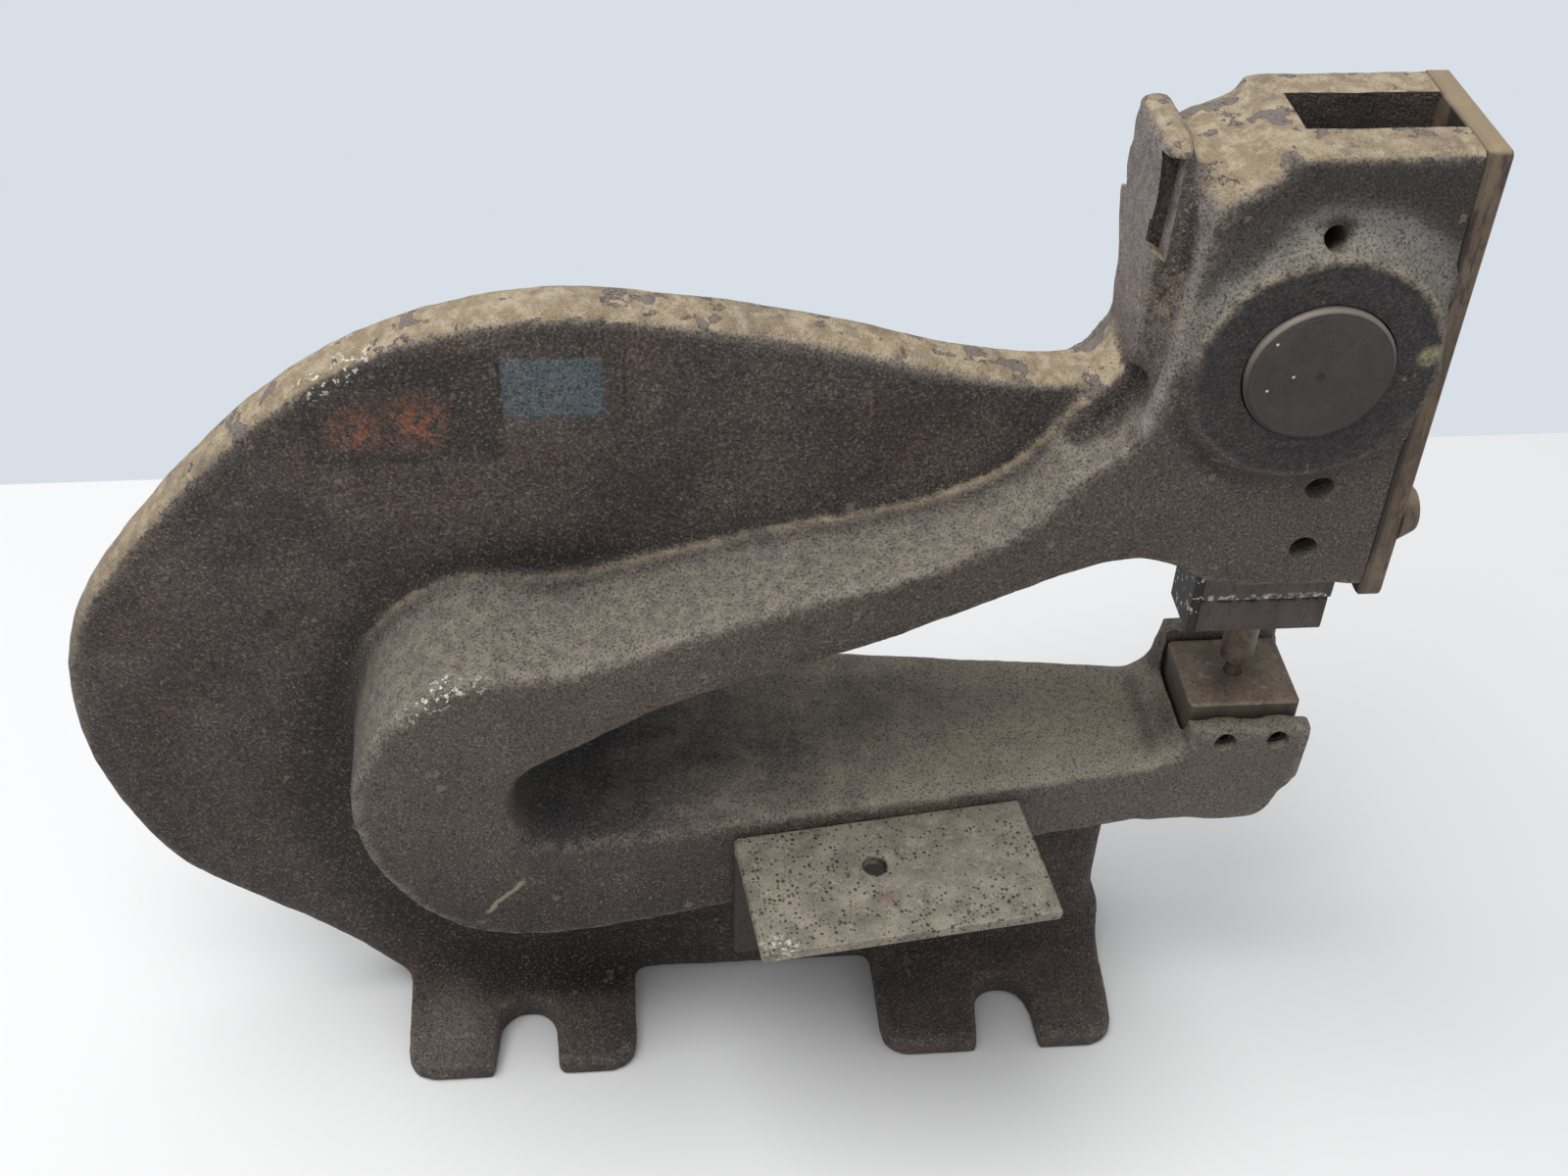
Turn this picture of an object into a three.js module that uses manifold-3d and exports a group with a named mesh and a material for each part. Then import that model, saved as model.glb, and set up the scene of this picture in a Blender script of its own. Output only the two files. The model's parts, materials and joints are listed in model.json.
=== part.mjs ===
import * as THREE from "three";
import { mergeVertices } from "three/addons/utils/BufferGeometryUtils.js";
import Module from "manifold-3d";

// Deep-throat lever hole punch for the bench. All sizes are in millimetres.
// The frame's mid-plane is y = 0 and the bench is z = 0. The shaft's axis crosses the mid-plane
// at x = 0, the punch stands in front of it at +X, and the near side is -Y.

const wasm = await Module();
wasm.setup();

// Side view of the frame
const shaftHeight = 179;
const throatDepth = 152.4;
const throatGap = 47.9;
const backWall = 89;
const headRise = 39.6;
const headDrop = 54.3;
const headFront = 21.4;
const headRear = 27.3;
const headWidth = 32;
const headEdge = 1.2;
const nosePlateSetback = 0.5;
const noseDepth = 19.1;

// Thickness of the frame: a thin web, and a rib round the throat that widens to the back
const webThickness = 12.4;
const webRim = 3;
const webLift = 2.4;
const ribTaperShare = 0.122;
const ribTaperStart = 5;
const ribEdge = 2;
const ribDraft = 1.4;
const ribRoot = 3.6;
const ribRootFade = 10;
const throatEdge = 2.2;
const blendOverlap = 7;

// Lip at the rear of the head
const lipBack = 31.2;
const lipThickness = 5.7;
const lipWidth = 23;
const lipHeight = 47;
const lipTopDrop = 1.6;
const lipCorner = 3.5;
const lipEdge = 1;
const neckFillet = 8.6;
const neckDrop = 9.8;
const grooveWidth = 3.3;
const grooveHeight = 16.2;
const grooveTopDrop = 2.8;
const grooveSetback = 0.4;
const grooveFloor = 0.3;

// Feet with their open bolt slots
const footWidth = 64;
const footEdgeHeight = 5.2;
const footRootHeight = 8.6;
const footRootWidth = 22;
const footCorner = 6;
const footEdge = 1.2;
const frontSlotSetback = 38.6;
const slotPitch = 109.9;
const slotWidth = 12.7;
const slotMouth = 14.5;
const slotEndOffset = 15.2;
const frontFootBehind = 29.4;
const frontFootAhead = 25.1;
const backFootBehind = 27;
const backFootAhead = 24.8;
const frontFootFillet = 10.5;
const backFootFillet = 4.5;
const pedestalSetback = 2.8;

// Bosses and bore for the shaft
const bossRadius = 22.7;
const bossHeight = 4.6;
const bossRim = 1.2;
const bossFlareRun = 8;
const bossFlareRise = 4.4;
const bossPlateGap = 0.3;
const oilHoleRadius = 2.5;
const oilHoleRise = 24;
const oilHoleSetback = 0.6;
const oilHoleDrop = 13;
const oilHoleReach = 6.5;

// Eccentric shaft
const shaftRadius = 13.5;
const shaftChamfer = 0.8;
const shaftNearEnd = 1.15;
const shaftStub = 16.2;
const eccentricity = 6.8;
const pinRadius = 6.6;
const pinRestAngle = -35 * THREE.MathUtils.DEG2RAD;
const shoulderGap = 0.2;
const leverHoleRadius = 5.6;
const leverHoleSetback = 8.3;
const clampHoleRadius = 3.1;

// Ram and its channel
const runningGap = 0.3;
const channelWidth = 13.4;
const channelBehind = 6.5;
const ramAbovePin = 31.2;
const ramBelowPin = 61.3;
const ramEdge = 0.4;
const backPlateThickness = 1.8;
const backPlateRise = 26.2;
const backPlateWidth = 12.4;
const backReliefRise = 24.3;
const backScrewClear = 1.2;
const backScrewTopDrop = 4.4;
const backScrewRadius = 1.7;
const backScrewHeadRadius = 3.1;
const backScrewLength = 7;

// Punch holder and punch
const holderHeight = 8.1;
const holderWidth = 13.2;
const holderFrontSetback = 0.6;
const holderScrewPitch = 17;
const holderScrewMiddle = 0.2;
const holderScrewRadius = 1.9;
const holderScrewHeadRadius = 3.3;
const holderScrewHeadHeight = 3.8;
const holderScrewHeadSink = 0.5;
const holderScrewLength = 12;
const punchRadius = 3.55;
const punchHeadRadius = 4.5;
const punchHeadHeight = 3;
const punchEntry = 1.5;
const punchTipBevel = 0.3;

// Die block in the nose, and its screws
const dieLength = 23.8;
const dieWidth = 20.6;
const dieHeight = 12.7;
const dieCorner = 1.2;
const dieEdge = 0.5;
const dieSetback = 0.25;
const dieHoleRadius = 3.85;
const dieLandDepth = 4.5;
const dieReliefRadius = 4.6;
const slugHoleRadius = 5;
const pocketWidth = 22.1;
const pocketDepth = 1;
const nearWallRise = 9.1;
const farWallRise = 14;
const farWallReturn = 2.6;
const farWallRearRun = 4.1;
const wallEdge = 0.8;
const dieScrewRadius = 2.2;
const dieScrewRise = 6.7;
const dieScrewSink = 2;
const dieScrewRearSetback = 4.6;
const dieScrewPitch = 11.3;

// Cover plate and its screws
const plateThickness = 4.8;
const plateWidth = 31.8;
const plateOverhang = 2.5;
const plateEdge = 0.5;
const plateCorner = 1.5;
const coverScrewSpread = 20.4;
const coverScrewLowRise = 15;
const coverScrewTopDrop = 9.2;
const coverScrewRadius = 2.5;
const coverScrewReach = 8.6;
const domeRadius = 6.2;
const domeHeight = 5.4;
const flushHeadRadius = 5;
const flushHeadHeight = 2.8;
const driverSlotWidth = 1.3;
const driverSlotDepth = 1.5;

// Set screws that take up the ram's side play
const ramScrewRadius = 2.6;
const ramScrewSetback = 1;
const ramScrewLowRise = 10.5;
const ramScrewPitch = 14.8;
const ramScrewSink = 4.6;
const socketRadius = 1.3;
const socketDepth = 1.8;

// Gauge bracket on the lower arm
const bracketLength = 61;
const bracketShelf = 30.5;
const bracketLeg = 34.2;
const bracketThickness = 2.4;
const bracketFillet = 2.2;
const bracketEdge = 0.5;
const bracketSetback = 72;
const bracketDrop = 3.6;
const gaugeHoleRadius = 2.4;
const gaugeHoleOffset = 3.8;
const gaugeHoleSetback = 12.1;
const bracketScrewPitch = 36;
const bracketScrewDrop = 11.5;
const bracketScrewRadius = 2.4;
const bracketScrewReach = 11;
const bracketScrewHeadRadius = 4.2;
const bracketScrewHeadHeight = 2.6;

// Clearances and the overrun of every cut
const seatGap = 0.3;
const threadGap = 0.15;
const overrun = 3;

// Steps of curves, of large and small rounds, and of rounded edges
const curveSteps = 3;
const roundSteps = 48;
const smallRoundSteps = 20;
const edgeSteps = 2;

// Places worked out from the sizes
const punchX = eccentricity;
const headTop = shaftHeight + headRise;
const headBottom = shaftHeight - headDrop;
const throatFloor = headBottom - throatGap;
const throatEnd = punchX - throatDepth;
const bodyReach = backWall - throatEnd;
const frontSlotX = -frontSlotSetback;
const backSlotX = frontSlotX - slotPitch;
const frontFootFront = frontSlotX + frontFootAhead;
const backFootBack = backSlotX - backFootBehind;
const pedestalFront = frontFootFront - pedestalSetback;
const bossFace = headWidth / 2 + bossHeight;
const boreRadius = shaftRadius + runningGap;
const noseFront = headFront - nosePlateSetback;
const pinX = eccentricity * Math.cos(pinRestAngle);
const pinHeight = shaftHeight + eccentricity * Math.sin(pinRestAngle);
const ramWidth = channelWidth - 2 * runningGap;
const ramRear = runningGap - channelBehind;
const ramFront = headFront - runningGap;
const ramBottom = pinHeight - ramBelowPin;
const holderBottom = ramBottom - holderHeight;
const holderFront = ramFront - holderFrontSetback;
const pocketFloor = throatFloor - pocketDepth;
const dieTop = pocketFloor + dieHeight;
const dieMiddle = punchX + dieSetback;
const dieRear = dieMiddle - dieLength / 2;
const pocketRear = dieRear - seatGap;
const plateBottom = headBottom - plateOverhang;
const plateFront = headFront + plateThickness;

// Half the rib's thickness at a place along the frame. The head's sides stay parallel.
const taperAt = (x) => headWidth / 2 - ribTaperShare * (x + ribTaperStart);
const sideAt = (x) => Math.max(headWidth / 2, taperAt(x));

// A closed geometry as a solid that can be joined and cut. Collapsed triangles are left out.
function solid(geometry) {
  geometry.deleteAttribute("normal");
  geometry.deleteAttribute("uv");
  const merged = mergeVertices(geometry);
  const corners = merged.index.array;
  const kept = [];
  for (let i = 0; i < corners.length; i += 3) {
    const [a, b, c] = corners.slice(i, i + 3);
    if (a !== b && b !== c && c !== a) kept.push(a, b, c);
  }
  return new wasm.Manifold(
    new wasm.Mesh({
      numProp: 3,
      vertProperties: merged.attributes.position.array,
      triVerts: Uint32Array.from(kept),
    }),
  );
}

function geometryOf(body) {
  const { vertProperties, triVerts } = body.getMesh();
  const geometry = new THREE.BufferGeometry();
  geometry.setAttribute("position", new THREE.BufferAttribute(vertProperties, 3));
  geometry.setIndex(new THREE.BufferAttribute(triVerts, 1));
  geometry.computeVertexNormals();
  return geometry;
}

const join = (bodies) => bodies.reduce((whole, body) => whole.add(body));
const cut = (body, tools) => tools.reduce((rest, tool) => rest.subtract(tool), body);

function block([x0, x1], [y0, y1], [z0, z1]) {
  const geometry = new THREE.BoxGeometry(x1 - x0, y1 - y0, z1 - z0);
  geometry.translate((x0 + x1) / 2, (y0 + y1) / 2, (z0 + z1) / 2);
  return solid(geometry);
}

// Round bars along each axis, from one place to another
function barGeometry(radius, length, steps) {
  const geometry = new THREE.CylinderGeometry(radius, radius, length, steps);
  return geometry.translate(0, length / 2, 0);
}

function barAlongY(radius, [from, to], x, z, steps = smallRoundSteps) {
  return solid(barGeometry(radius, to - from, steps).translate(x, from, z));
}

function barAlongZ(radius, [from, to], x, y, steps = smallRoundSteps) {
  const geometry = barGeometry(radius, to - from, steps).rotateX(Math.PI / 2);
  return solid(geometry.translate(x, y, from));
}

function barAlongX(radius, [from, to], y, z, steps = smallRoundSteps) {
  const geometry = barGeometry(radius, to - from, steps).rotateZ(-Math.PI / 2);
  return solid(geometry.translate(from, y, z));
}

// A profile of radius and place along the axis, turned round the Y axis
function turned(profile, steps = smallRoundSteps) {
  const points = profile.map(([radius, along]) => new THREE.Vector2(radius, along));
  return solid(new THREE.LatheGeometry(points, steps));
}

const asAxisX = (body) => body.rotate([0, 0, -90]);
const asAxisZ = (body) => body.rotate([90, 0, 0]);

// Outlines drawn as (across, up) pairs and drawn out along one axis, with rounded rims where asked
function drawnOut(shape, length, rim, rimSteps) {
  const rounded = {
    depth: length - 2 * rim,
    bevelThickness: rim,
    bevelSize: rim,
    bevelOffset: -rim,
    bevelSegments: rimSteps,
    curveSegments: curveSteps,
  };
  const plain = { depth: length, bevelEnabled: false, curveSegments: curveSteps };
  const geometry = new THREE.ExtrudeGeometry(shape, rim > 0 ? rounded : plain);
  return geometry.translate(0, 0, rim);
}

const axisX = new THREE.Vector3(1, 0, 0);
const axisY = new THREE.Vector3(0, 1, 0);
const axisZ = new THREE.Vector3(0, 0, 1);
const sideView = new THREE.Matrix4().makeBasis(axisX, axisZ, axisY.clone().negate());
const frontView = new THREE.Matrix4().makeBasis(axisY, axisZ, axisX);

function alongY(shape, [from, to], rim = 0, rimSteps = edgeSteps) {
  const geometry = drawnOut(shape, to - from, rim, rimSteps);
  return solid(geometry.applyMatrix4(sideView).translate(0, to, 0));
}

function alongX(shape, [from, to], rim = 0, rimSteps = edgeSteps) {
  const geometry = drawnOut(shape, to - from, rim, rimSteps);
  return solid(geometry.applyMatrix4(frontView).translate(from, 0, 0));
}

function alongZ(shape, [from, to], rim = 0, rimSteps = edgeSteps) {
  return solid(drawnOut(shape, to - from, rim, rimSteps).translate(0, 0, from));
}

function polygon(points) {
  return new THREE.Shape(points.map(([across, up]) => new THREE.Vector2(across, up)));
}

// A rectangle between two corners, with its corners rounded
function roundedRectangle([x0, x1], [y0, y1], radius) {
  const shape = new THREE.Shape();
  shape.moveTo(x0 + radius, y0);
  shape.lineTo(x1 - radius, y0);
  shape.absarc(x1 - radius, y0 + radius, radius, -Math.PI / 2, 0);
  shape.absarc(x1 - radius, y1 - radius, radius, 0, Math.PI / 2);
  shape.absarc(x0 + radius, y1 - radius, radius, Math.PI / 2, Math.PI);
  shape.absarc(x0 + radius, y0 + radius, radius, Math.PI, Math.PI * 1.5);
  return shape;
}

// Outline points with their outward directions, each as long as a unit step off both edges
function rimOf(shape) {
  const points = shape.getPoints(curveSteps);
  if (points[0].equals(points[points.length - 1])) points.pop();
  if (THREE.ShapeUtils.isClockWise(points)) points.reverse();
  return points.map((point, i) => {
    const before = points[(i + points.length - 1) % points.length];
    const after = points[(i + 1) % points.length];
    const arrive = point.clone().sub(before).normalize();
    const leave = after.clone().sub(point).normalize();
    const middle = new THREE.Vector2(arrive.y + leave.y, -arrive.x - leave.x).normalize();
    const squareness = Math.max(middle.x * arrive.y - middle.y * arrive.x, Math.SQRT1_2);
    return { point, outward: middle.divideScalar(squareness) };
  });
}

// A side-view outline drawn out in layers from the far side to the near side. Each layer has
// its own half thickness at a place, and its own growth of the outline at a place.
function layered(shape, layers) {
  const count = layers.length - 1;
  const geometry = new THREE.ExtrudeGeometry(shape, {
    depth: count,
    steps: count,
    bevelEnabled: false,
    curveSegments: curveSteps,
  });
  const rim = rimOf(shape);
  const places = geometry.attributes.position;
  for (let i = 0; i < places.count; i++) {
    const corner = new THREE.Vector2(places.getX(i), places.getY(i));
    const layer = layers[Math.round(places.getZ(i))];
    const near = rim.reduce((best, entry) =>
      entry.point.distanceToSquared(corner) < best.point.distanceToSquared(corner) ? entry : best,
    );
    const moved = near.outward.clone().multiplyScalar(layer.growth(near.point)).add(near.point);
    places.setXYZ(i, moved.x, layer.side(moved.x), moved.y);
  }
  return solid(geometry);
}

// Layers of one side, outermost first, become those of both sides
function bothSides(layers) {
  const near = layers.map(({ side, growth }) => ({ side: (x) => -side(x), growth }));
  return [...layers, ...near.reverse()];
}

// Quarter turns of a rounded edge: how far it has gone down from the face and out to the wall
function quarterTurns(radius) {
  return Array.from({ length: edgeSteps + 1 }, (_, i) => {
    const angle = ((Math.PI / 2) * i) / edgeSteps;
    return { down: radius * (1 - Math.cos(angle)), out: radius * (1 - Math.sin(angle)) };
  });
}

// Places for outline shares. On the body they follow its reach and the shaft's height, on the
// head its rear and rise over the shaft, and round the throat its depth and gap.
const onBody = ([x, z]) => new THREE.Vector2(-x * bodyReach, z * shaftHeight);
const onHead = ([x, z]) => new THREE.Vector2(-x * headRear, shaftHeight + z * headRise);
const roundThroat = ([x, z]) =>
  new THREE.Vector2(punchX - x * throatDepth, throatFloor + z * throatGap);
const onNose = ([x, z]) => new THREE.Vector2(x * noseFront, throatFloor - z * noseDepth);

const headBandShares = [[0.59, 0.914], [0.8, 0.886]];
const archShares = [
  [0.196, 0.9455], [0.236, 0.953], [0.284, 0.967], [0.331, 0.986], [0.396, 1.006],
  [0.476, 1.025], [0.571, 1.037], [0.675, 1.013], [0.77, 0.9525], [0.857, 0.855],
  [0.946, 0.722], [0.987, 0.625], [1, 0.511], [0.988, 0.397], [0.95, 0.275], [0.884, 0.193],
];
const heelShares = [[0.76, 2.6], [0.19, 1]];

// The thin web: arch, back and heel, the pedestal between the feet, and the lip at the head
function webShape() {
  const shape = new THREE.Shape();
  const lipTop = headTop - lipTopDrop;
  const neckHeight = shaftHeight - neckDrop;
  shape.moveTo(pedestalFront, webLift);
  shape.lineTo(pedestalFront, headBottom);
  shape.lineTo(-channelBehind - seatGap, headBottom + throatGap);
  shape.lineTo(-channelBehind - seatGap, headTop - seatGap);
  shape.splineThru(headBandShares.map(onHead));
  shape.quadraticCurveTo(-lipBack + lipThickness, lipTop - lipTopDrop, lipThickness - lipBack, lipTop);
  shape.lineTo(lipCorner - lipBack, lipTop);
  shape.absarc(lipCorner - lipBack, lipTop - lipCorner, lipCorner, Math.PI / 2, Math.PI);
  shape.lineTo(-lipBack, neckHeight + neckFillet);
  shape.quadraticCurveTo(-lipBack, neckHeight, -lipBack - neckFillet, neckHeight);
  shape.splineThru([
    ...archShares.map(onBody),
    ...heelShares.map(([x, z]) => new THREE.Vector2(backFootBack - x * webThickness * 1.8, z * footRootHeight)),
  ]);
  shape.lineTo(backFootBack + footEdge, webLift);
  return shape;
}

function web() {
  const half = webThickness / 2;
  const layers = quarterTurns(webRim).map(({ down, out }) => ({
    side: () => half - down,
    growth: () => -out,
  }));
  return layered(webShape(), bothSides(layers));
}

const headCrownShares = [[0.245, 1], [0.505, 0.884], [0.766, 0.806]];
const headCornerShare = [0.824, 0.788];
const headRearShares = [[0.835, 0.737], [0.872, 0.543], [0.908, 0.202], [1.026, -0.051], [1.198, -0.242]];
const ribShares = [
  [0.297, 1.722], [0.349, 1.509], [0.418, 1.372], [0.537, 1.263], [0.657, 1.196],
  [0.82, 1.067], [0.925, 0.987], [1.037, 1.002], [1.104, 0.914], [1.163, 0.722],
  [1.199, 0.432], [1.194, 0.119], [1.152, -0.205], [1.075, -0.468], [0.97, -0.572],
  [0.845, -0.574], [0.724, -0.541],
];
const ribUndersideShares = [[0.265, -0.372], [0.135, -0.363]];
const noseRootShare = [-0.057, 0.969];

// The thick rib round the throat, with the rear of the head and the lower arm
function ribShape() {
  const shape = new THREE.Shape();
  const front = blendOverlap - ribTaperStart;
  const [crown, ...slope] = headCrownShares.map(onHead);
  const corner = onHead(headCornerShare);
  const [rearTop, ...rear] = headRearShares.map(onHead);
  shape.moveTo(front, headTop);
  shape.lineTo(crown.x, crown.y);
  shape.splineThru(slope);
  shape.quadraticCurveTo(corner.x, corner.y, rearTop.x, rearTop.y);
  shape.splineThru([...rear, ...ribShares.map(roundThroat)]);
  for (const point of ribUndersideShares.map(roundThroat)) shape.lineTo(point.x, point.y);
  shape.lineTo(front, throatFloor - noseDepth);
  return shape;
}

// The rib's root and draft fade out where no web stands beside it
function rootFadeAt(point) {
  const { clamp } = THREE.MathUtils;
  const behindPedestal = clamp((pedestalFront - point.x) / ribRootFade, 0, 1);
  const belowNeck = clamp((shaftHeight - neckDrop - point.y) / ribRootFade, 0, 1);
  return Math.min(behindPedestal, belowNeck);
}

function rib() {
  const half = webThickness / 2;
  const edge = quarterTurns(ribEdge).map(({ down, out }) => ({
    side: (x) => taperAt(x) - down,
    growth: () => -out,
  }));
  const root = quarterTurns(ribRoot).map(({ down, out }) => ({
    side: () => half + out,
    growth: (point) => (ribDraft + down) * rootFadeAt(point),
  }));
  return layered(ribShape(), bothSides([...edge, ...root]));
}

const throatShares = [
  [0.904, 0], [0.953, 0.025], [0.985, 0.094], [1, 0.203], [0.999, 0.328], [0.978, 0.447],
  [0.917, 0.539], [0.845, 0.652], [0.777, 0.739], [0.654, 0.837], [0.531, 0.923],
  [0.409, 1.054], [0.287, 1.175], [0.215, 1.207], [0.159, 1.148], [0.116, 1.056],
  [0.088, 1.019], [0.054, 1],
];
const dieRampShares = [[0.344, 0], [0.115, 0.484]];

// The throat as a tool: its edges flare at the faces, so that they come out rounded
function throat() {
  const shape = new THREE.Shape();
  const wallTop = throatFloor + nearWallRise;
  const out = headFront + overrun + overrun;
  const [rampFoot, rampTop] = dieRampShares;
  const [start, ...rest] = throatShares.map(roundThroat);
  shape.moveTo(out, wallTop);
  shape.lineTo(pocketRear, wallTop);
  shape.lineTo(pocketRear - rampTop[0] * farWallRearRun, throatFloor + rampTop[1] * nearWallRise);
  shape.lineTo(pocketRear - rampFoot[0] * noseDepth, throatFloor);
  shape.lineTo(start.x, start.y);
  shape.splineThru(rest);
  shape.lineTo(out, headBottom);
  const edge = quarterTurns(throatEdge).map(({ down, out: flare }) => ({
    side: (x) => sideAt(x) - down,
    growth: () => flare,
  }));
  const beyond = { side: (x) => sideAt(x) + overrun, growth: () => throatEdge };
  return layered(shape, bothSides([beyond, ...edge]));
}

function headBlock() {
  const rear = -ribTaperStart - blendOverlap;
  const shape = polygon([
    [rear, headBottom - overrun],
    [headFront + overrun, headBottom - overrun],
    [headFront + overrun, headTop],
    [rear, headTop],
  ]);
  return alongY(shape, [-headWidth / 2, headWidth / 2], headEdge);
}

const noseShares = [
  [0.105, 1.016], [0.641, 1], [0.746, 0.895], [0.818, 0.7], [0.833, 0.555],
  [0.914, 0.497], [0.967, 0.372], [1, 0.073],
];

// The nose that carries the die, with its stepped front
function noseBlock() {
  const rear = -ribTaperStart - blendOverlap;
  const underside = onNose(noseRootShare);
  const outline = noseShares.map(onNose);
  const shape = new THREE.Shape();
  shape.moveTo(rear, throatFloor + nearWallRise);
  shape.lineTo(rear, underside.y);
  shape.lineTo(underside.x, underside.y);
  for (const point of outline) shape.lineTo(point.x, point.y);
  shape.lineTo(noseFront, throatFloor + nearWallRise);
  return alongY(shape, [-headWidth / 2, headWidth / 2], headEdge);
}

// The taller wall behind the die on the far side, with a short return round its rear corner
function farWall() {
  const top = throatFloor + farWallRise;
  const inner = pocketWidth / 2 - farWallReturn;
  const shape = polygon([
    [pocketRear - farWallRearRun, pocketFloor],
    [noseFront - wallEdge, pocketFloor],
    [noseFront - wallEdge, top],
    [pocketRear, top],
    [pocketRear - farWallRearRun / 2, throatFloor + farWallRearRun],
    [pocketRear - farWallRearRun, throatFloor + wallEdge],
  ]);
  return alongY(shape, [inner, headWidth / 2], wallEdge, 1);
}

const lipShares = [[0.53, 0.08], [0.66, 0.2], [0.9, 0.36], [1, 0.55]];

// The lip across the rear of the head, narrow at its foot, seen from the rear
function lip() {
  const half = lipWidth / 2;
  const top = headTop - lipTopDrop;
  const foot = top - lipHeight;
  const flank = lipShares.map(([y, z]) => [y * half, foot + z * lipHeight]);
  const shape = new THREE.Shape();
  shape.moveTo(-flank[0][0], foot);
  shape.lineTo(flank[0][0], foot);
  shape.splineThru(flank.slice(1).map(([y, z]) => new THREE.Vector2(y, z)));
  shape.absarc(half - lipCorner, top - lipCorner, lipCorner, 0, Math.PI / 2);
  shape.absarc(lipCorner - half, top - lipCorner, lipCorner, Math.PI / 2, Math.PI);
  shape.splineThru(flank.reverse().map(([y, z]) => new THREE.Vector2(-y, z)));
  return alongX(shape, [-lipBack, lipThickness - lipBack], lipEdge);
}

// The tapering groove down each flank of the lip
function grooves() {
  const front = lipThickness - lipBack - grooveSetback;
  const top = headTop - lipTopDrop - grooveTopDrop;
  const shape = polygon([
    [front, top],
    [front - grooveWidth, top],
    [front - grooveWidth / 2, top - grooveHeight],
  ]);
  const inner = webThickness / 2 + grooveFloor;
  return join([
    alongY(shape, [inner, lipWidth / 2 + overrun]),
    alongY(shape, [-lipWidth / 2 - overrun, -inner]),
  ]);
}

// A boss on each cheek. Its flared root stops at the plate's seat.
function bosses() {
  const cheek = headWidth / 2;
  const flare = quarterTurns(1).map(({ down, out }) => [
    bossRadius + bossFlareRun * out,
    cheek + bossFlareRise * down,
  ]);
  const inner = channelWidth / 2 + overrun;
  const root = turned([[0, inner], [bossRadius + bossFlareRun, inner], ...flare, [0, cheek + bossFlareRise]], roundSteps);
  const rim = quarterTurns(bossRim).map(({ down, out }) => [bossRadius - down, bossFace - out]);
  const disc = turned([[0, inner], [bossRadius, inner], ...rim, [0, bossFace]], roundSteps);
  const behindSeat = block(
    [-headRear + ribRoot, headFront],
    [-bossFace - overrun, bossFace + overrun],
    [-bossRadius * 2, bossRadius * 2],
  );
  const far = root.intersect(behindSeat).add(disc);
  const near = far.mirror([0, 1, 0]);
  return far.add(near).translate([0, 0, shaftHeight]);
}

// One foot: a profile across the frame, cut to its rounded plan and slotted from both sides
function foot(slotX, behind, ahead, fillet) {
  const half = footWidth / 2;
  const back = slotX - behind;
  const front = slotX + ahead;
  const rootHalf = footRootWidth / 2;
  const webHalf = webThickness / 2 - footEdge;
  const profile = new THREE.Shape();
  profile.moveTo(-half, 0);
  profile.lineTo(half, 0);
  profile.lineTo(half, footEdgeHeight - footEdge);
  profile.quadraticCurveTo(half, footEdgeHeight, half - footEdge, footEdgeHeight);
  profile.lineTo(rootHalf, footRootHeight);
  profile.quadraticCurveTo(webHalf + footEdge, footRootHeight, webHalf, footRootHeight + fillet);
  profile.lineTo(-webHalf, footRootHeight + fillet);
  profile.quadraticCurveTo(-webHalf - footEdge, footRootHeight, -rootHalf, footRootHeight);
  profile.lineTo(footEdge - half, footEdgeHeight);
  profile.quadraticCurveTo(-half, footEdgeHeight, -half, footEdgeHeight - footEdge);
  const plan = roundedRectangle([back, front], [-half, half], footCorner);
  const tall = footRootHeight + fillet + overrun;
  const whole = alongX(profile, [back, front]).intersect(alongZ(plan, [0, tall]));
  return cut(whole, [slot(slotX, 1, tall), slot(slotX, -1, tall)]);
}

// An open bolt slot that widens a little towards its mouth
function slot(x, way, tall) {
  const radius = slotWidth / 2;
  const end = slotEndOffset + radius;
  const mouth = footWidth / 2 + overrun;
  const shape = new THREE.Shape();
  shape.moveTo(x - slotMouth / 2, mouth);
  shape.lineTo(x - radius, end);
  shape.absarc(x, end, radius, Math.PI, Math.PI * 2);
  shape.lineTo(x + slotMouth / 2, mouth);
  const tool = alongZ(shape, [-overrun, tall]);
  return way > 0 ? tool : tool.mirror([0, 1, 0]);
}

// Places of the cover screws on the plate's seat
const coverScrewPlaces = {
  lower: headBottom + coverScrewLowRise,
  upper: headTop - coverScrewTopDrop,
};
const ramScrewX = punchX + ramScrewSetback;
const ramScrewHeights = [headBottom + ramScrewLowRise, headBottom + ramScrewLowRise + ramScrewPitch];
const dieScrewXs = [punchX - dieScrewRearSetback, punchX - dieScrewRearSetback + dieScrewPitch];

// The bracket lies on the near face of the arm, so it turns with the arm's taper
const bracketTurn = Math.atan(ribTaperShare);
const bracketPlace = new THREE.Matrix4()
  .makeRotationZ(bracketTurn)
  .setPosition(-bracketSetback, -sideAt(-bracketSetback) - seatGap, throatFloor - bracketDrop);

function bracketScrewHoles() {
  return [-1, 1].map((way) => {
    const geometry = new THREE.CylinderGeometry(
      bracketScrewRadius + threadGap,
      bracketScrewRadius + threadGap,
      bracketScrewReach + overrun,
      smallRoundSteps,
    );
    geometry.translate((way * bracketScrewPitch) / 2, bracketScrewReach / 2, -bracketScrewDrop);
    return solid(geometry.applyMatrix4(bracketPlace));
  });
}

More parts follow.
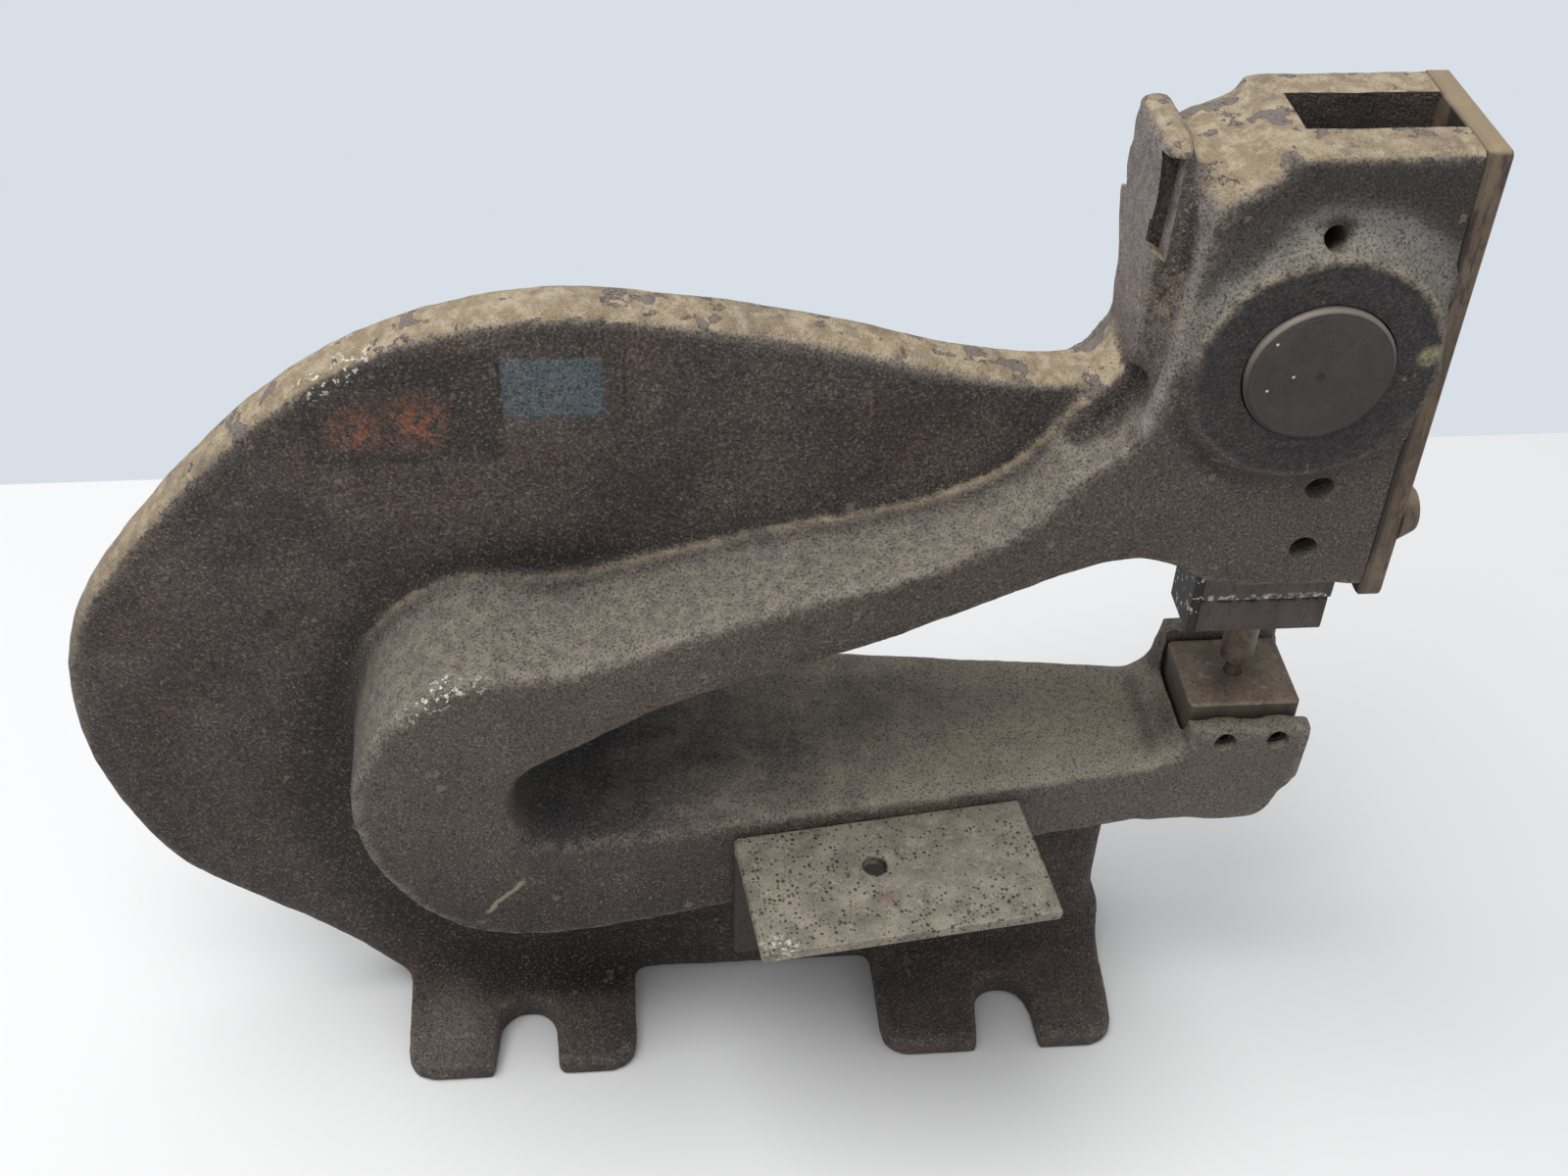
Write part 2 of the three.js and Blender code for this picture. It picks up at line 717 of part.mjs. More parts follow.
// Channel, bore, pocket and holes of the frame
function frameCuts() {
  const halfChannel = channelWidth / 2;
  const wide = headWidth / 2 + bossPlateGap;
  const above = headTop + overrun;
  const below = headBottom - overrun;
  const front = headFront + overrun + bossRadius;
  const channel = block([-channelBehind, front], [-halfChannel, halfChannel], [below, above]);
  const relief = block(
    [-channelBehind - backPlateThickness - threadGap, overrun],
    [-halfChannel, halfChannel],
    [below, headBottom + backReliefRise],
  );
  const plateSeat = block([headFront, front], [-wide, wide], [below, above]);
  const bore = barAlongY(boreRadius, [-bossFace - overrun, bossFace + overrun], 0, shaftHeight, roundSteps);
  const pocket = block(
    [pocketRear, noseFront + overrun],
    [-pocketWidth / 2, pocketWidth / 2],
    [pocketFloor, throatFloor + farWallRise + overrun],
  );
  const slugHole = barAlongZ(slugHoleRadius, [throatFloor - noseDepth - overrun, pocketFloor + overrun], punchX, 0);
  const dieScrewHoles = dieScrewXs.map((x) =>
    barAlongY(dieScrewRadius + threadGap, [-headWidth / 2 - overrun, -dieWidth / 2], x, pocketFloor + dieScrewRise),
  );
  const ramScrewHoles = ramScrewHeights.map((z) =>
    barAlongY(ramScrewRadius + threadGap, [-headWidth / 2 - overrun, 0], ramScrewX, z),
  );
  const coverScrewHoles = Object.values(coverScrewPlaces).flatMap((z) =>
    [-1, 1].map((way) =>
      barAlongX(
        coverScrewRadius + threadGap,
        [headFront - coverScrewReach - seatGap, headFront + overrun],
        (way * coverScrewSpread) / 2,
        z,
      ),
    ),
  );
  return [
    channel, relief, plateSeat, bore, pocket, slugHole, oilHole(),
    ...dieScrewHoles, ...ramScrewHoles, ...coverScrewHoles, ...bracketScrewHoles(),
  ];
}

// The oil hole slants from the near cheek down into the bore
function oilHole() {
  const entry = new THREE.Vector3(-oilHoleSetback, -headWidth / 2, shaftHeight + oilHoleRise);
  const way = new THREE.Vector3(0, oilHoleReach, -oilHoleDrop);
  const length = way.length() + overrun;
  const geometry = new THREE.CylinderGeometry(oilHoleRadius, oilHoleRadius, length, smallRoundSteps);
  const turn = new THREE.Quaternion().setFromUnitVectors(axisY, way.clone().normalize());
  const middle = entry.clone().addScaledVector(way.clone().normalize(), length / 2 - overrun);
  geometry.applyQuaternion(turn);
  return solid(geometry.translate(middle.x, middle.y, middle.z));
}

function frame() {
  const casting = join([web(), rib(), headBlock(), noseBlock()]).subtract(throat());
  const whole = join([
    casting,
    farWall(),
    lip().subtract(grooves()),
    bosses(),
    foot(frontSlotX, frontFootBehind, frontFootAhead, frontFootFillet),
    foot(backSlotX, backFootBehind, backFootAhead, backFootFillet),
  ]);
  return cut(whole, frameCuts());
}

// Screws. Each stands with its axis along Y, its head's seat at zero and its shank below it.
function driverSlot(radius, top) {
  return block(
    [-radius - overrun, radius + overrun],
    [top - driverSlotDepth, top + overrun],
    [-driverSlotWidth / 2, driverSlotWidth / 2],
  );
}

function domedScrew(radius, length, headRadius, headHeight) {
  const dome = quarterTurns(1).map(({ down, out }) => [headRadius * (1 - down), headHeight * (1 - out)]);
  const profile = [[0, -length], [radius, -length], [radius, 0], [headRadius, 0], ...dome];
  return turned(profile).subtract(driverSlot(headRadius, headHeight));
}

function flushScrew(radius, length, headRadius, headHeight) {
  const profile = [[0, -length], [radius, -length], [radius, -headHeight], [headRadius, 0], [0, 0]];
  return turned(profile).subtract(driverSlot(headRadius, 0));
}

// A headless screw from zero down, with a socket in its top
function setScrew(radius, length) {
  const socket = solid(
    new THREE.CylinderGeometry(socketRadius, socketRadius, socketDepth * 2, 6),
  );
  return turned([[0, -length], [radius, -length], [radius, 0], [0, 0]]).subtract(socket);
}

function capScrew(radius, length, headRadius, headHeight) {
  const socket = solid(
    new THREE.CylinderGeometry(socketRadius, socketRadius, socketDepth * 2, 6),
  ).translate([0, headHeight, 0]);
  const profile = [
    [0, -length], [radius, -length], [radius, 0],
    [headRadius, 0], [headRadius, headHeight], [0, headHeight],
  ];
  return turned(profile).subtract(socket);
}

function eccentricShaft() {
  const shoulder = channelWidth / 2 + shoulderGap;
  const nearEnd = bossFace + shaftNearEnd;
  const farEnd = bossFace + shaftStub;
  const near = turned(
    [
      [0, -nearEnd], [shaftRadius - shaftChamfer, -nearEnd], [shaftRadius, shaftChamfer - nearEnd],
      [shaftRadius, -shoulder], [0, -shoulder],
    ],
    roundSteps,
  );
  const far = turned(
    [
      [0, shoulder], [shaftRadius, shoulder], [shaftRadius, farEnd - shaftChamfer],
      [shaftRadius - shaftChamfer, farEnd], [0, farEnd],
    ],
    roundSteps,
  );
  const pin = barAlongY(pinRadius, [-shoulder - overrun, shoulder + overrun], pinX, pinHeight - shaftHeight, roundSteps);
  const seat = farEnd - leverHoleSetback;
  const leverHole = barAlongX(leverHoleRadius, [-shaftRadius - overrun, shaftRadius + overrun], seat, 0, roundSteps / 2);
  const clampHole = barAlongY(clampHoleRadius, [seat, farEnd + overrun], 0, 0);
  return cut(join([near, far, pin]), [leverHole, clampHole]);
}

// The ram with its slot for the shaft's pin, open to the rear. Zero is the pin's height.
function ram() {
  const slotHalf = pinRadius + runningGap;
  const slotEnd = eccentricity + runningGap / 2;
  const shape = new THREE.Shape();
  shape.moveTo(ramRear, -ramBelowPin);
  shape.lineTo(ramFront, -ramBelowPin);
  shape.lineTo(ramFront, ramAbovePin);
  shape.lineTo(ramRear, ramAbovePin);
  shape.lineTo(ramRear, slotHalf);
  shape.lineTo(slotEnd, slotHalf);
  shape.absarc(slotEnd, 0, slotHalf, Math.PI / 2, -Math.PI / 2, true);
  shape.lineTo(ramRear, -slotHalf);
  const body = alongY(shape, [-ramWidth / 2, ramWidth / 2], ramEdge, 1);
  const floor = -ramBelowPin;
  const screwHoles = holderScrewXs.map((x) =>
    barAlongZ(holderScrewRadius + threadGap, [floor - overrun, floor + holderScrewThread + seatGap], x, 0),
  );
  const backHoles = backScrewRises.map((rise) =>
    barAlongX(backScrewRadius + threadGap, [ramRear - overrun, backScrewTip + seatGap], 0, floor + rise),
  );
  return cut(body, [...screwHoles, ...backHoles]);
}

const holderScrewXs = [
  punchX + holderScrewMiddle - holderScrewPitch / 2,
  punchX + holderScrewMiddle + holderScrewPitch / 2,
];
const holderScrewSeat = holderScrewHeadSink + holderScrewHeadHeight;
const holderScrewThread = holderScrewLength - (holderHeight - holderScrewSeat);
const backScrewRises = [
  holderScrewThread + backScrewClear + backScrewRadius,
  backPlateRise - backScrewTopDrop,
];
const backScrewTip = ramRear - backPlateThickness + backScrewLength;

// The plate behind the ram and the holder. Zero is the ram's underside.
function backPlate() {
  const shape = polygon([
    [-backPlateWidth / 2, -holderHeight],
    [backPlateWidth / 2, -holderHeight],
    [backPlateWidth / 2, backPlateRise],
    [-backPlateWidth / 2, backPlateRise],
  ]);
  const rear = ramRear - backPlateThickness;
  const plate = alongX(shape, [rear, ramRear]);
  const holes = backScrewRises.map((rise) => {
    const sunk = flushScrew(
      backScrewRadius + threadGap,
      backScrewLength,
      backScrewHeadRadius + threadGap,
      backPlateThickness,
    );
    return asAxisX(sunk.mirror([0, 1, 0])).translate([rear, 0, rise]);
  });
  const plain = backScrewRises.map((rise) =>
    barAlongX(backScrewHeadRadius + threadGap, [rear - overrun, rear + driverSlotDepth], 0, rise),
  );
  return cut(plate, [...holes, ...plain]);
}

// The holder hangs below the ram. Its top is zero, and the punch's head sits in its top.
function punchHolder() {
  const shape = polygon([
    [ramRear, -holderHeight],
    [holderFront, -holderHeight],
    [holderFront, 0],
    [ramRear, 0],
  ]);
  const body = alongY(shape, [-holderWidth / 2, holderWidth / 2], ramEdge, 1);
  const below = -holderHeight - overrun;
  const punchHole = barAlongZ(punchRadius + threadGap, [below, overrun], punchX, 0);
  const headHole = barAlongZ(punchHeadRadius + threadGap, [-punchHeadHeight - threadGap, overrun], punchX, 0);
  const screwHoles = holderScrewXs.flatMap((x) => [
    barAlongZ(holderScrewRadius + threadGap, [below, overrun], x, 0),
    barAlongZ(holderScrewHeadRadius + threadGap, [below, holderScrewSeat - holderHeight], x, 0),
  ]);
  return cut(body, [punchHole, headHole, ...screwHoles]);
}

// The punch from its tip, which is zero, to its head under the ram
function punch() {
  const length = ramBottom - (dieTop - punchEntry);
  const tip = punchRadius - punchTipBevel;
  const profile = [
    [0, 0], [tip, 0], [punchRadius, punchTipBevel], [punchRadius, length - punchHeadHeight],
    [punchHeadRadius, length - punchHeadHeight], [punchHeadRadius, length], [0, length],
  ];
  return asAxisZ(turned(profile));
}

// The die block, its origin in the middle of its underside, with a land and a relief below it
function dieBlock() {
  const half = dieLength / 2;
  const shape = roundedRectangle([-half, half], [-dieWidth / 2, dieWidth / 2], dieCorner);
  const land = dieHeight - dieLandDepth;
  return cut(alongZ(shape, [0, dieHeight], dieEdge, 1), [
    barAlongZ(dieHoleRadius, [land - overrun, dieHeight + overrun], -dieSetback, 0, roundSteps / 2),
    barAlongZ(dieReliefRadius, [-overrun, land], -dieSetback, 0, roundSteps / 2),
  ]);
}

// The cover plate, its origin in the middle of its lower rear edge
function coverPlate() {
  const height = headTop - plateBottom;
  const shape = roundedRectangle([-plateWidth / 2, plateWidth / 2], [0, height], plateCorner);
  const plate = alongX(shape, [0, plateThickness], plateEdge, 1);
  const across = [-coverScrewSpread / 2, coverScrewSpread / 2];
  const plain = across.map((y) =>
    barAlongX(coverScrewRadius + threadGap, [-overrun, plateThickness + overrun], y, coverScrewPlaces.lower - plateBottom),
  );
  const sunk = across.flatMap((y) => {
    const hole = flushScrew(
      coverScrewRadius + threadGap,
      plateThickness + overrun,
      flushHeadRadius + threadGap,
      flushHeadHeight + threadGap,
    );
    const z = coverScrewPlaces.upper - plateBottom;
    return [
      asAxisX(hole).translate([plateThickness, y, z]),
      barAlongX(
        flushHeadRadius - driverSlotDepth,
        [plateThickness - driverSlotDepth, plateThickness + overrun],
        y,
        z,
      ),
    ];
  });
  return cut(plate, [...plain, ...sunk]);
}

// The steel angle, its origin in the middle of its top rear edge
function gaugeBracket() {
  const shape = new THREE.Shape();
  shape.moveTo(0, 0);
  shape.lineTo(-bracketShelf, 0);
  shape.lineTo(-bracketShelf, -bracketThickness);
  shape.lineTo(-bracketThickness - bracketFillet, -bracketThickness);
  shape.quadraticCurveTo(
    -bracketThickness,
    -bracketThickness,
    -bracketThickness,
    -bracketThickness - bracketFillet,
  );
  shape.lineTo(-bracketThickness, -bracketLeg);
  shape.lineTo(0, -bracketLeg);
  const angle = alongX(shape, [-bracketLength / 2, bracketLength / 2], bracketEdge, 1);
  const gaugeHole = barAlongZ(gaugeHoleRadius, [-bracketThickness - overrun, overrun], -gaugeHoleOffset, -gaugeHoleSetback);
  const screwHoles = [-1, 1].map((way) =>
    barAlongY(
      bracketScrewRadius + threadGap,
      [-bracketThickness - overrun, overrun],
      (way * bracketScrewPitch) / 2,
      -bracketScrewDrop,
    ),
  );
  return cut(angle, [gaugeHole, ...screwHoles]);
}

// Finishes
const finish = (color, roughness, metalness) =>
  new THREE.MeshStandardMaterial({ color, roughness, metalness });
const castIron = finish("#4c443d", 0.82, 0.55);
const shaftSteel = finish("#4f4943", 0.5, 0.85);
const plateSteel = finish("#7d6a52", 0.5, 0.8);
const ramSteel = finish("#5a544e", 0.48, 0.85);
const darkSteel = finish("#35302c", 0.55, 0.8);
const dieSteel = finish("#8a7358", 0.42, 0.85);
const bracketSteel = finish("#8e8778", 0.45, 0.8);
const screwSteel = finish("#3f3a35", 0.5, 0.8);

function piece(name, body, material, x = 0, y = 0, z = 0) {
  const mesh = new THREE.Mesh(geometryOf(body), material);
  mesh.name = name;
  mesh.position.set(x, y, z);
  return mesh;
}

const machine = new THREE.Group();
machine.add(piece("frame", frame(), castIron));

// Cover plate with its screws, two domed below and two flush above
const cover = new THREE.Group();
cover.position.set(headFront, 0, plateBottom);
cover.add(piece("cover_plate", coverPlate(), plateSteel));
for (const [side, way] of [["near", -1], ["far", 1]]) {
  const y = (way * coverScrewSpread) / 2;
  const shank = coverScrewReach + plateThickness;
  const domed = asAxisX(domedScrew(coverScrewRadius, shank, domeRadius, domeHeight));
  const flush = asAxisX(flushScrew(coverScrewRadius, shank, flushHeadRadius, flushHeadHeight));
  const lowerZ = coverScrewPlaces.lower - plateBottom;
  const upperZ = coverScrewPlaces.upper - plateBottom;
  cover.add(piece("cover_screw_lower_" + side, domed, screwSteel, plateThickness, y, lowerZ));
  cover.add(piece("cover_screw_upper_" + side, flush, screwSteel, plateThickness, y, upperZ));
}
machine.add(cover);

machine.add(piece("eccentric_shaft", eccentricShaft(), shaftSteel, 0, 0, shaftHeight));

// The sliding unit: ram, back plate, holder and punch with their screws
const slide = new THREE.Group();
slide.position.z = ramBottom;
slide.add(piece("ram", ram(), ramSteel, 0, 0, ramBelowPin));
slide.add(piece("ram_back_plate", backPlate(), darkSteel));
slide.add(piece("punch_holder", punchHolder(), ramSteel));
slide.add(piece("punch", punch(), dieSteel, punchX, 0, dieTop - punchEntry - ramBottom));
["lower", "upper"].forEach((level, i) => {
  const screw = flushScrew(backScrewRadius, backScrewLength, backScrewHeadRadius, backPlateThickness);
  const turnedIn = asAxisX(screw.mirror([0, 1, 0]));
  const rear = ramRear - backPlateThickness;
  slide.add(piece("back_plate_screw_" + level, turnedIn, screwSteel, rear, 0, backScrewRises[i]));
});
["rear", "front"].forEach((end, i) => {
  const screw = capScrew(holderScrewRadius, holderScrewLength, holderScrewHeadRadius, holderScrewHeadHeight);
  const upright = asAxisZ(screw).mirror([0, 0, 1]);
  const seat = holderScrewSeat - holderHeight;
  slide.add(piece("holder_screw_" + end, upright, screwSteel, holderScrewXs[i], 0, seat));
});
machine.add(slide);

// Die block with its set screws in the near wall of the pocket
machine.add(piece("die_block", dieBlock(), dieSteel, dieMiddle, 0, pocketFloor));
["rear", "front"].forEach((end, i) => {
  const top = headWidth / 2 - dieScrewSink;
  const screw = setScrew(dieScrewRadius, top - dieWidth / 2).mirror([0, 1, 0]);
  const z = pocketFloor + dieScrewRise;
  machine.add(piece("die_screw_" + end, screw, screwSteel, dieScrewXs[i], -top, z));
});
["lower", "upper"].forEach((level, i) => {
  const top = headWidth / 2 - ramScrewSink;
  const screw = setScrew(ramScrewRadius, top - channelWidth / 2).mirror([0, 1, 0]);
  machine.add(piece("ram_screw_" + level, screw, screwSteel, ramScrewX, -top, ramScrewHeights[i]));
});

// Gauge bracket, turned to lie on the arm, with its screws
const gauge = new THREE.Group();
gauge.position.setFromMatrixPosition(bracketPlace);
gauge.rotation.z = bracketTurn;
gauge.add(piece("gauge_bracket", gaugeBracket(), bracketSteel));
for (const [side, way] of [["left", -1], ["right", 1]]) {
  const screw = domedScrew(
    bracketScrewRadius,
    bracketThickness + bracketScrewReach,
    bracketScrewHeadRadius,
    bracketScrewHeadHeight,
  ).mirror([0, 1, 0]);
  const x = (way * bracketScrewPitch) / 2;
  const face = -bracketThickness - seatGap;
  gauge.add(piece("bracket_screw_" + side, screw, screwSteel, x, face, -bracketScrewDrop));
}
machine.add(gauge);

// The part's origin is on the bench, under the middle of the machine's length and width
const outer = new THREE.Box3().setFromObject(machine);
machine.position.set(-(outer.min.x + outer.max.x) / 2, -(outer.min.y + outer.max.y) / 2, -outer.min.z);
const part = new THREE.Group();
part.add(machine);

export default part;
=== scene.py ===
import json
import math
import bmesh
import bpy
import numpy
from mathutils import Matrix, Vector, noise


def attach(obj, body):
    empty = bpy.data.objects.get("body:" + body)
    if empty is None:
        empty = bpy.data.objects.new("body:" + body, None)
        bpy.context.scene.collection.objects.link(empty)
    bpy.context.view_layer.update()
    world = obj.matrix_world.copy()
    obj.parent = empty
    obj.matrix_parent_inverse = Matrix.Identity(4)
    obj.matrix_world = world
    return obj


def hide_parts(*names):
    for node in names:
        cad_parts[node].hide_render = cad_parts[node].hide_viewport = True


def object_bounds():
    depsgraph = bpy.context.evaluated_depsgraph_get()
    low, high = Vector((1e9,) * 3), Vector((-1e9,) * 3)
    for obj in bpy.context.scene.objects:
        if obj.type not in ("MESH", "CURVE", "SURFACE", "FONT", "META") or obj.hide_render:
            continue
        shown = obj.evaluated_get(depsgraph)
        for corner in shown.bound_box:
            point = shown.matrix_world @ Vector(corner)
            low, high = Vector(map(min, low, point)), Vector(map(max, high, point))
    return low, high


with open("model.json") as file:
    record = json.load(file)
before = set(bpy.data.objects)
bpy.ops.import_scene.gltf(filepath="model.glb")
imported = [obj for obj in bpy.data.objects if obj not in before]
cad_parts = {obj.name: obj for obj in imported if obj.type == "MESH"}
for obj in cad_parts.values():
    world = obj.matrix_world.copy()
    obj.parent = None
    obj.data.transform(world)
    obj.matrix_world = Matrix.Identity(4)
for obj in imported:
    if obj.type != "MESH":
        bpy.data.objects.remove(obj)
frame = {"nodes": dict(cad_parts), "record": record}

solid_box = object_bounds()


# Cast frame: one grey iron sand casting with a thin web and a thick horseshoe rib.
# The skin is as the sand left it, under worn dark paint, rust and years of shop dust.
# Its feet, pocket, channel and bores are machined.

MM = 0.001
shaft_axis = Vector(frame["record"]["behaviour"]["joints"][0]["pos_m"])


def at(x, y, z):
    """A place in millimetres: forwards and across from the shaft, and up from the bench."""
    return Vector((shaft_axis.x + x * MM, shaft_axis.y + y * MM, z * MM))


class Wire:
    """One value, colour or vector on its way through a finish."""

    def __init__(self, finish, socket):
        self.finish = finish
        self.socket = socket

    def maths(self, operation, *values):
        return self.finish.maths(operation, *values)

    def __add__(self, other):
        return self.maths("ADD", self, other)

    __radd__ = __add__

    def __sub__(self, other):
        return self.maths("SUBTRACT", self, other)

    def __rsub__(self, other):
        return self.maths("SUBTRACT", other, self)

    def __mul__(self, other):
        return self.maths("MULTIPLY", self, other)

    __rmul__ = __mul__

    def __truediv__(self, other):
        return self.maths("DIVIDE", self, other)

    def __neg__(self):
        return self * -1

    def most(self, other):
        return self.maths("MAXIMUM", self, other)

    def size(self):
        """How far it is from zero, either way."""
        return self.maths("ABSOLUTE", self)

    def root(self):
        return self.maths("SQRT", self)

    def rising(self, low, high):
        """0 below low, 1 above high and smooth between them. low may be the larger."""
        return self.finish.node(
            "ShaderNodeMapRange",
            {"interpolation_type": "SMOOTHSTEP"},
            {"Value": self, "From Min": low, "From Max": high},
        )

    def between(self, low, high, soft):
        """1 between low and high and 0 outside, over edges as wide as soft."""
        return self.rising(low - soft, low + soft) * self.rising(high + soft, high - soft)

    def part(self, name):
        """The X, Y or Z of a vector."""
        return self.finish.node("ShaderNodeSeparateXYZ", {}, [self], name)


class Finish:
    """The finish of one piece: a surface shader and the nodes that vary it."""

    def __init__(self, name, metallic=0.0, level=0.5):
        self.material = bpy.data.materials.new(name)
        self.material.use_nodes = True
        self.tree = self.material.node_tree
        self.surface = self.tree.nodes["Principled BSDF"]
        self.surface.inputs["Metallic"].default_value = metallic
        self.surface.inputs["Specular IOR Level"].default_value = level
        self.place = self.node("ShaderNodeTexCoord", {}, [], "Object")
        facing = self.node("ShaderNodeTexCoord", {}, [], "Normal")
        self.up = facing.part("Z")
        self.near = -facing.part("Y")
        self.rear = -facing.part("X")
        self.along = self.place.part("X") / MM - shaft_axis.x / MM
        self.across = self.place.part("Y") / MM - shaft_axis.y / MM
        self.tall = self.place.part("Z") / MM

    def node(self, kind, settings, values, output=0):
        """Adds a node: its settings first, then the values or links of its sockets."""
        made = self.tree.nodes.new(kind)
        for name, setting in settings.items():
            setattr(made, name, setting)
        sockets = values.items() if isinstance(values, dict) else enumerate(values)
        for name, value in sockets:
            if isinstance(value, Wire):
                self.tree.links.new(value.socket, made.inputs[name])
            else:
                made.inputs[name].default_value = value
        return Wire(self, made.outputs[output])

    def maths(self, operation, *values):
        return self.node("ShaderNodeMath", {"operation": operation}, values)

    def grain(self, size, detail=3.0, rough=0.55, stretch=None):
        """Noise whose lumps are about as wide as size, in millimetres."""
        where = self.place
        if stretch:
            where = self.node("ShaderNodeVectorMath", {"operation": "MULTIPLY"}, [where, stretch])
        sockets = {"Vector": where, "Scale": 1 / (size * MM), "Detail": detail, "Roughness": rough}
        return self.node("ShaderNodeTexNoise", {}, sockets, "Fac")

    def round_spot(self, x, y, z, radius, soft):
        """1 round a place in millimetres, and 0 further off than radius."""
        ends = [self.place, at(x, y, z)]
        off = self.node("ShaderNodeVectorMath", {"operation": "DISTANCE"}, ends, "Value")
        return (off / MM).rising(radius + soft, radius - soft)

    def from_axis(self):
        """How far a place is from the shaft's axis, in millimetres."""
        rise = self.tall - shaft_axis.z / MM
        return (self.along * self.along + rise * rise).root()

    def mix(self, share, first, second):
        """The first colour where share is 0 and the second where it is 1."""
        first_socket, second_socket, blend = 6, 7, 2
        sockets = {"Factor": share, first_socket: first, second_socket: second}
        return self.node("ShaderNodeMix", {"data_type": "RGBA"}, sockets, blend)

    def relief(self, *heights):
        """Stacks bumps, each a height and its depth in millimetres."""
        normal = None
        for height, depth in heights:
            sockets = {"Strength": 1.0, "Distance": depth * MM, "Height": height}
            if normal:
                sockets["Normal"] = normal
            normal = self.node("ShaderNodeBump", {}, sockets)
        return normal

    def set(self, **values):
        """Gives the surface its values or links, and hands back the material."""
        for name, value in values.items():
            socket = self.surface.inputs[name.replace("_", " ")]
            if isinstance(value, Wire):
                self.tree.links.new(value.socket, socket)
            else:
                socket.default_value = value
        return self.material


def paint(code):
    """A colour as it looks, written as red, green and blue in hexadecimal."""
    parts = [int(code[i:i + 2], 16) / 255 for i in (0, 2, 4)]
    linear = [c / 12.92 if c <= 0.04045 else ((c + 0.055) / 1.055) ** 2.4 for c in parts]
    return (*linear, 1.0)


def surface_of(node):
    """The shape of one solid of the frame, with its corners joined up."""
    same_place = 0.0005 * MM
    shape = bmesh.new()
    shape.from_mesh(frame["nodes"][node].data)
    bmesh.ops.remove_doubles(shape, verts=shape.verts, dist=same_place)
    return shape


def piece_of(name, shape, *finishes):
    """A piece of the scene made from a shape and its finishes."""
    mesh = bpy.data.meshes.new(name)
    shape.to_mesh(mesh)
    shape.free()
    mesh.materials.clear()
    for finish in finishes:
        mesh.materials.append(finish)
    piece = bpy.data.objects.new(name, mesh)
    bpy.context.scene.collection.objects.link(piece)
    return piece


def smooth_but_edges(mesh, corner):
    """Shades a mesh smooth, but not over edges that turn by more than corner, in degrees."""
    for face in mesh.polygons:
        face.use_smooth = True
    mesh.set_sharp_from_angle(angle=math.radians(corner))


def stands_for(piece, node, body):
    """Puts a piece in the place of a solid and on the body that it moves with."""
    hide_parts(node)
    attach(piece, body)
    return piece


def brick(low, high):
    """A square block between two opposite corners."""
    shape = bmesh.new()
    size = Matrix.Diagonal((*(high - low), 1))
    bmesh.ops.create_cube(shape, size=1, matrix=Matrix.Translation((low + high) / 2) @ size)
    return shape


def bar(radius, start, end, sides=64):
    """A round bar, with its radius in millimetres, from one place to another."""
    shape = bmesh.new()
    way = end - start
    turn = way.to_track_quat("Z", "Y").to_matrix().to_4x4()
    bmesh.ops.create_cone(
        shape,
        cap_ends=True,
        segments=sides,
        radius1=radius * MM,
        radius2=radius * MM,
        depth=way.length,
        matrix=Matrix.Translation((start + end) / 2) @ turn,
    )
    return shape


def drawn(rings):
    """A closed solid through rings of as many corners each."""
    shape = bmesh.new()
    rows = [[shape.verts.new(corner) for corner in ring] for ring in rings]
    for row, after in zip(rows, rows[1:]):
        for i in range(len(row)):
            shape.faces.new((row[i - 1], row[i], after[i], after[i - 1]))
    shape.faces.new(rows[0])
    shape.faces.new(reversed(rows[-1]))
    bmesh.ops.recalc_face_normals(shape, faces=shape.faces)
    return shape


def side_view(corners, *sides):
    """A solid drawn out across the frame from corners given along and up."""
    return drawn([[at(x, y, z) for x, z in corners] for y in sides])


# The head, its channel and its holes, in millimetres. Heights are from the bench.
head_top, head_side = 218.6, 16
channel_floor, channel_behind, channel_side = 124.7, 6.5, 6.7
relief_behind, relief_top = 8.45, 149
plate_seat = 21.4
shaft_height, bore_radius, boss_end = 179, 13.8, 20.6
oil_setback, oil_radius, oil_mouth, oil_slope = 1.2, 2.3, 203.2, 0.42
oil_foot, oil_depth = 198.8, 5.5
ram_screw_along, ram_screw_radius, ram_screw_end = 7.8, 2.75, 1
ram_screw_heights = (135.2, 150)
die_screw_height, die_screw_radius, die_screw_end = 82.5, 2.35, 10
die_screw_places = (2.2, 13.5)
punch_along = 6.8
slug_radius, slug_mouth, slug_top = 5, 57.7, 77


def machined_hollows(wider, past):
    """The cut hollows of the casting, wider all round and run out past its faces."""
    side, low, top = channel_side + wider, channel_floor - past, head_top + past
    channel = brick(at(-channel_behind - wider, -side, low), at(plate_seat + past, side, top))
    relief = brick(at(-relief_behind - wider, -side, low), at(0, side, relief_top + wider))
    boss = boss_end + past
    bore = bar(bore_radius + wider, at(0, -boss, shaft_height), at(0, boss, shaft_height))
    slug_way = bar(
        slug_radius + wider,
        at(punch_along, 0, slug_mouth - past),
        at(punch_along, 0, slug_top),
    )
    cheek = -head_side - past
    oil_hole = bar(
        oil_radius + wider,
        at(-oil_setback, cheek, oil_mouth + past * oil_slope),
        at(-oil_setback, -oil_depth, oil_foot),
    )
    shapes = [channel, relief, bore, slug_way, oil_hole]
    for height in ram_screw_heights:
        mouth = at(ram_screw_along, cheek, height)
        end = at(ram_screw_along, -ram_screw_end, height)
        shapes.append(bar(ram_screw_radius + wider, mouth, end))
    for along in die_screw_places:
        mouth = at(along, cheek, die_screw_height)
        end = at(along, -die_screw_end, die_screw_height)
        shapes.append(bar(die_screw_radius + wider, mouth, end))
    return shapes


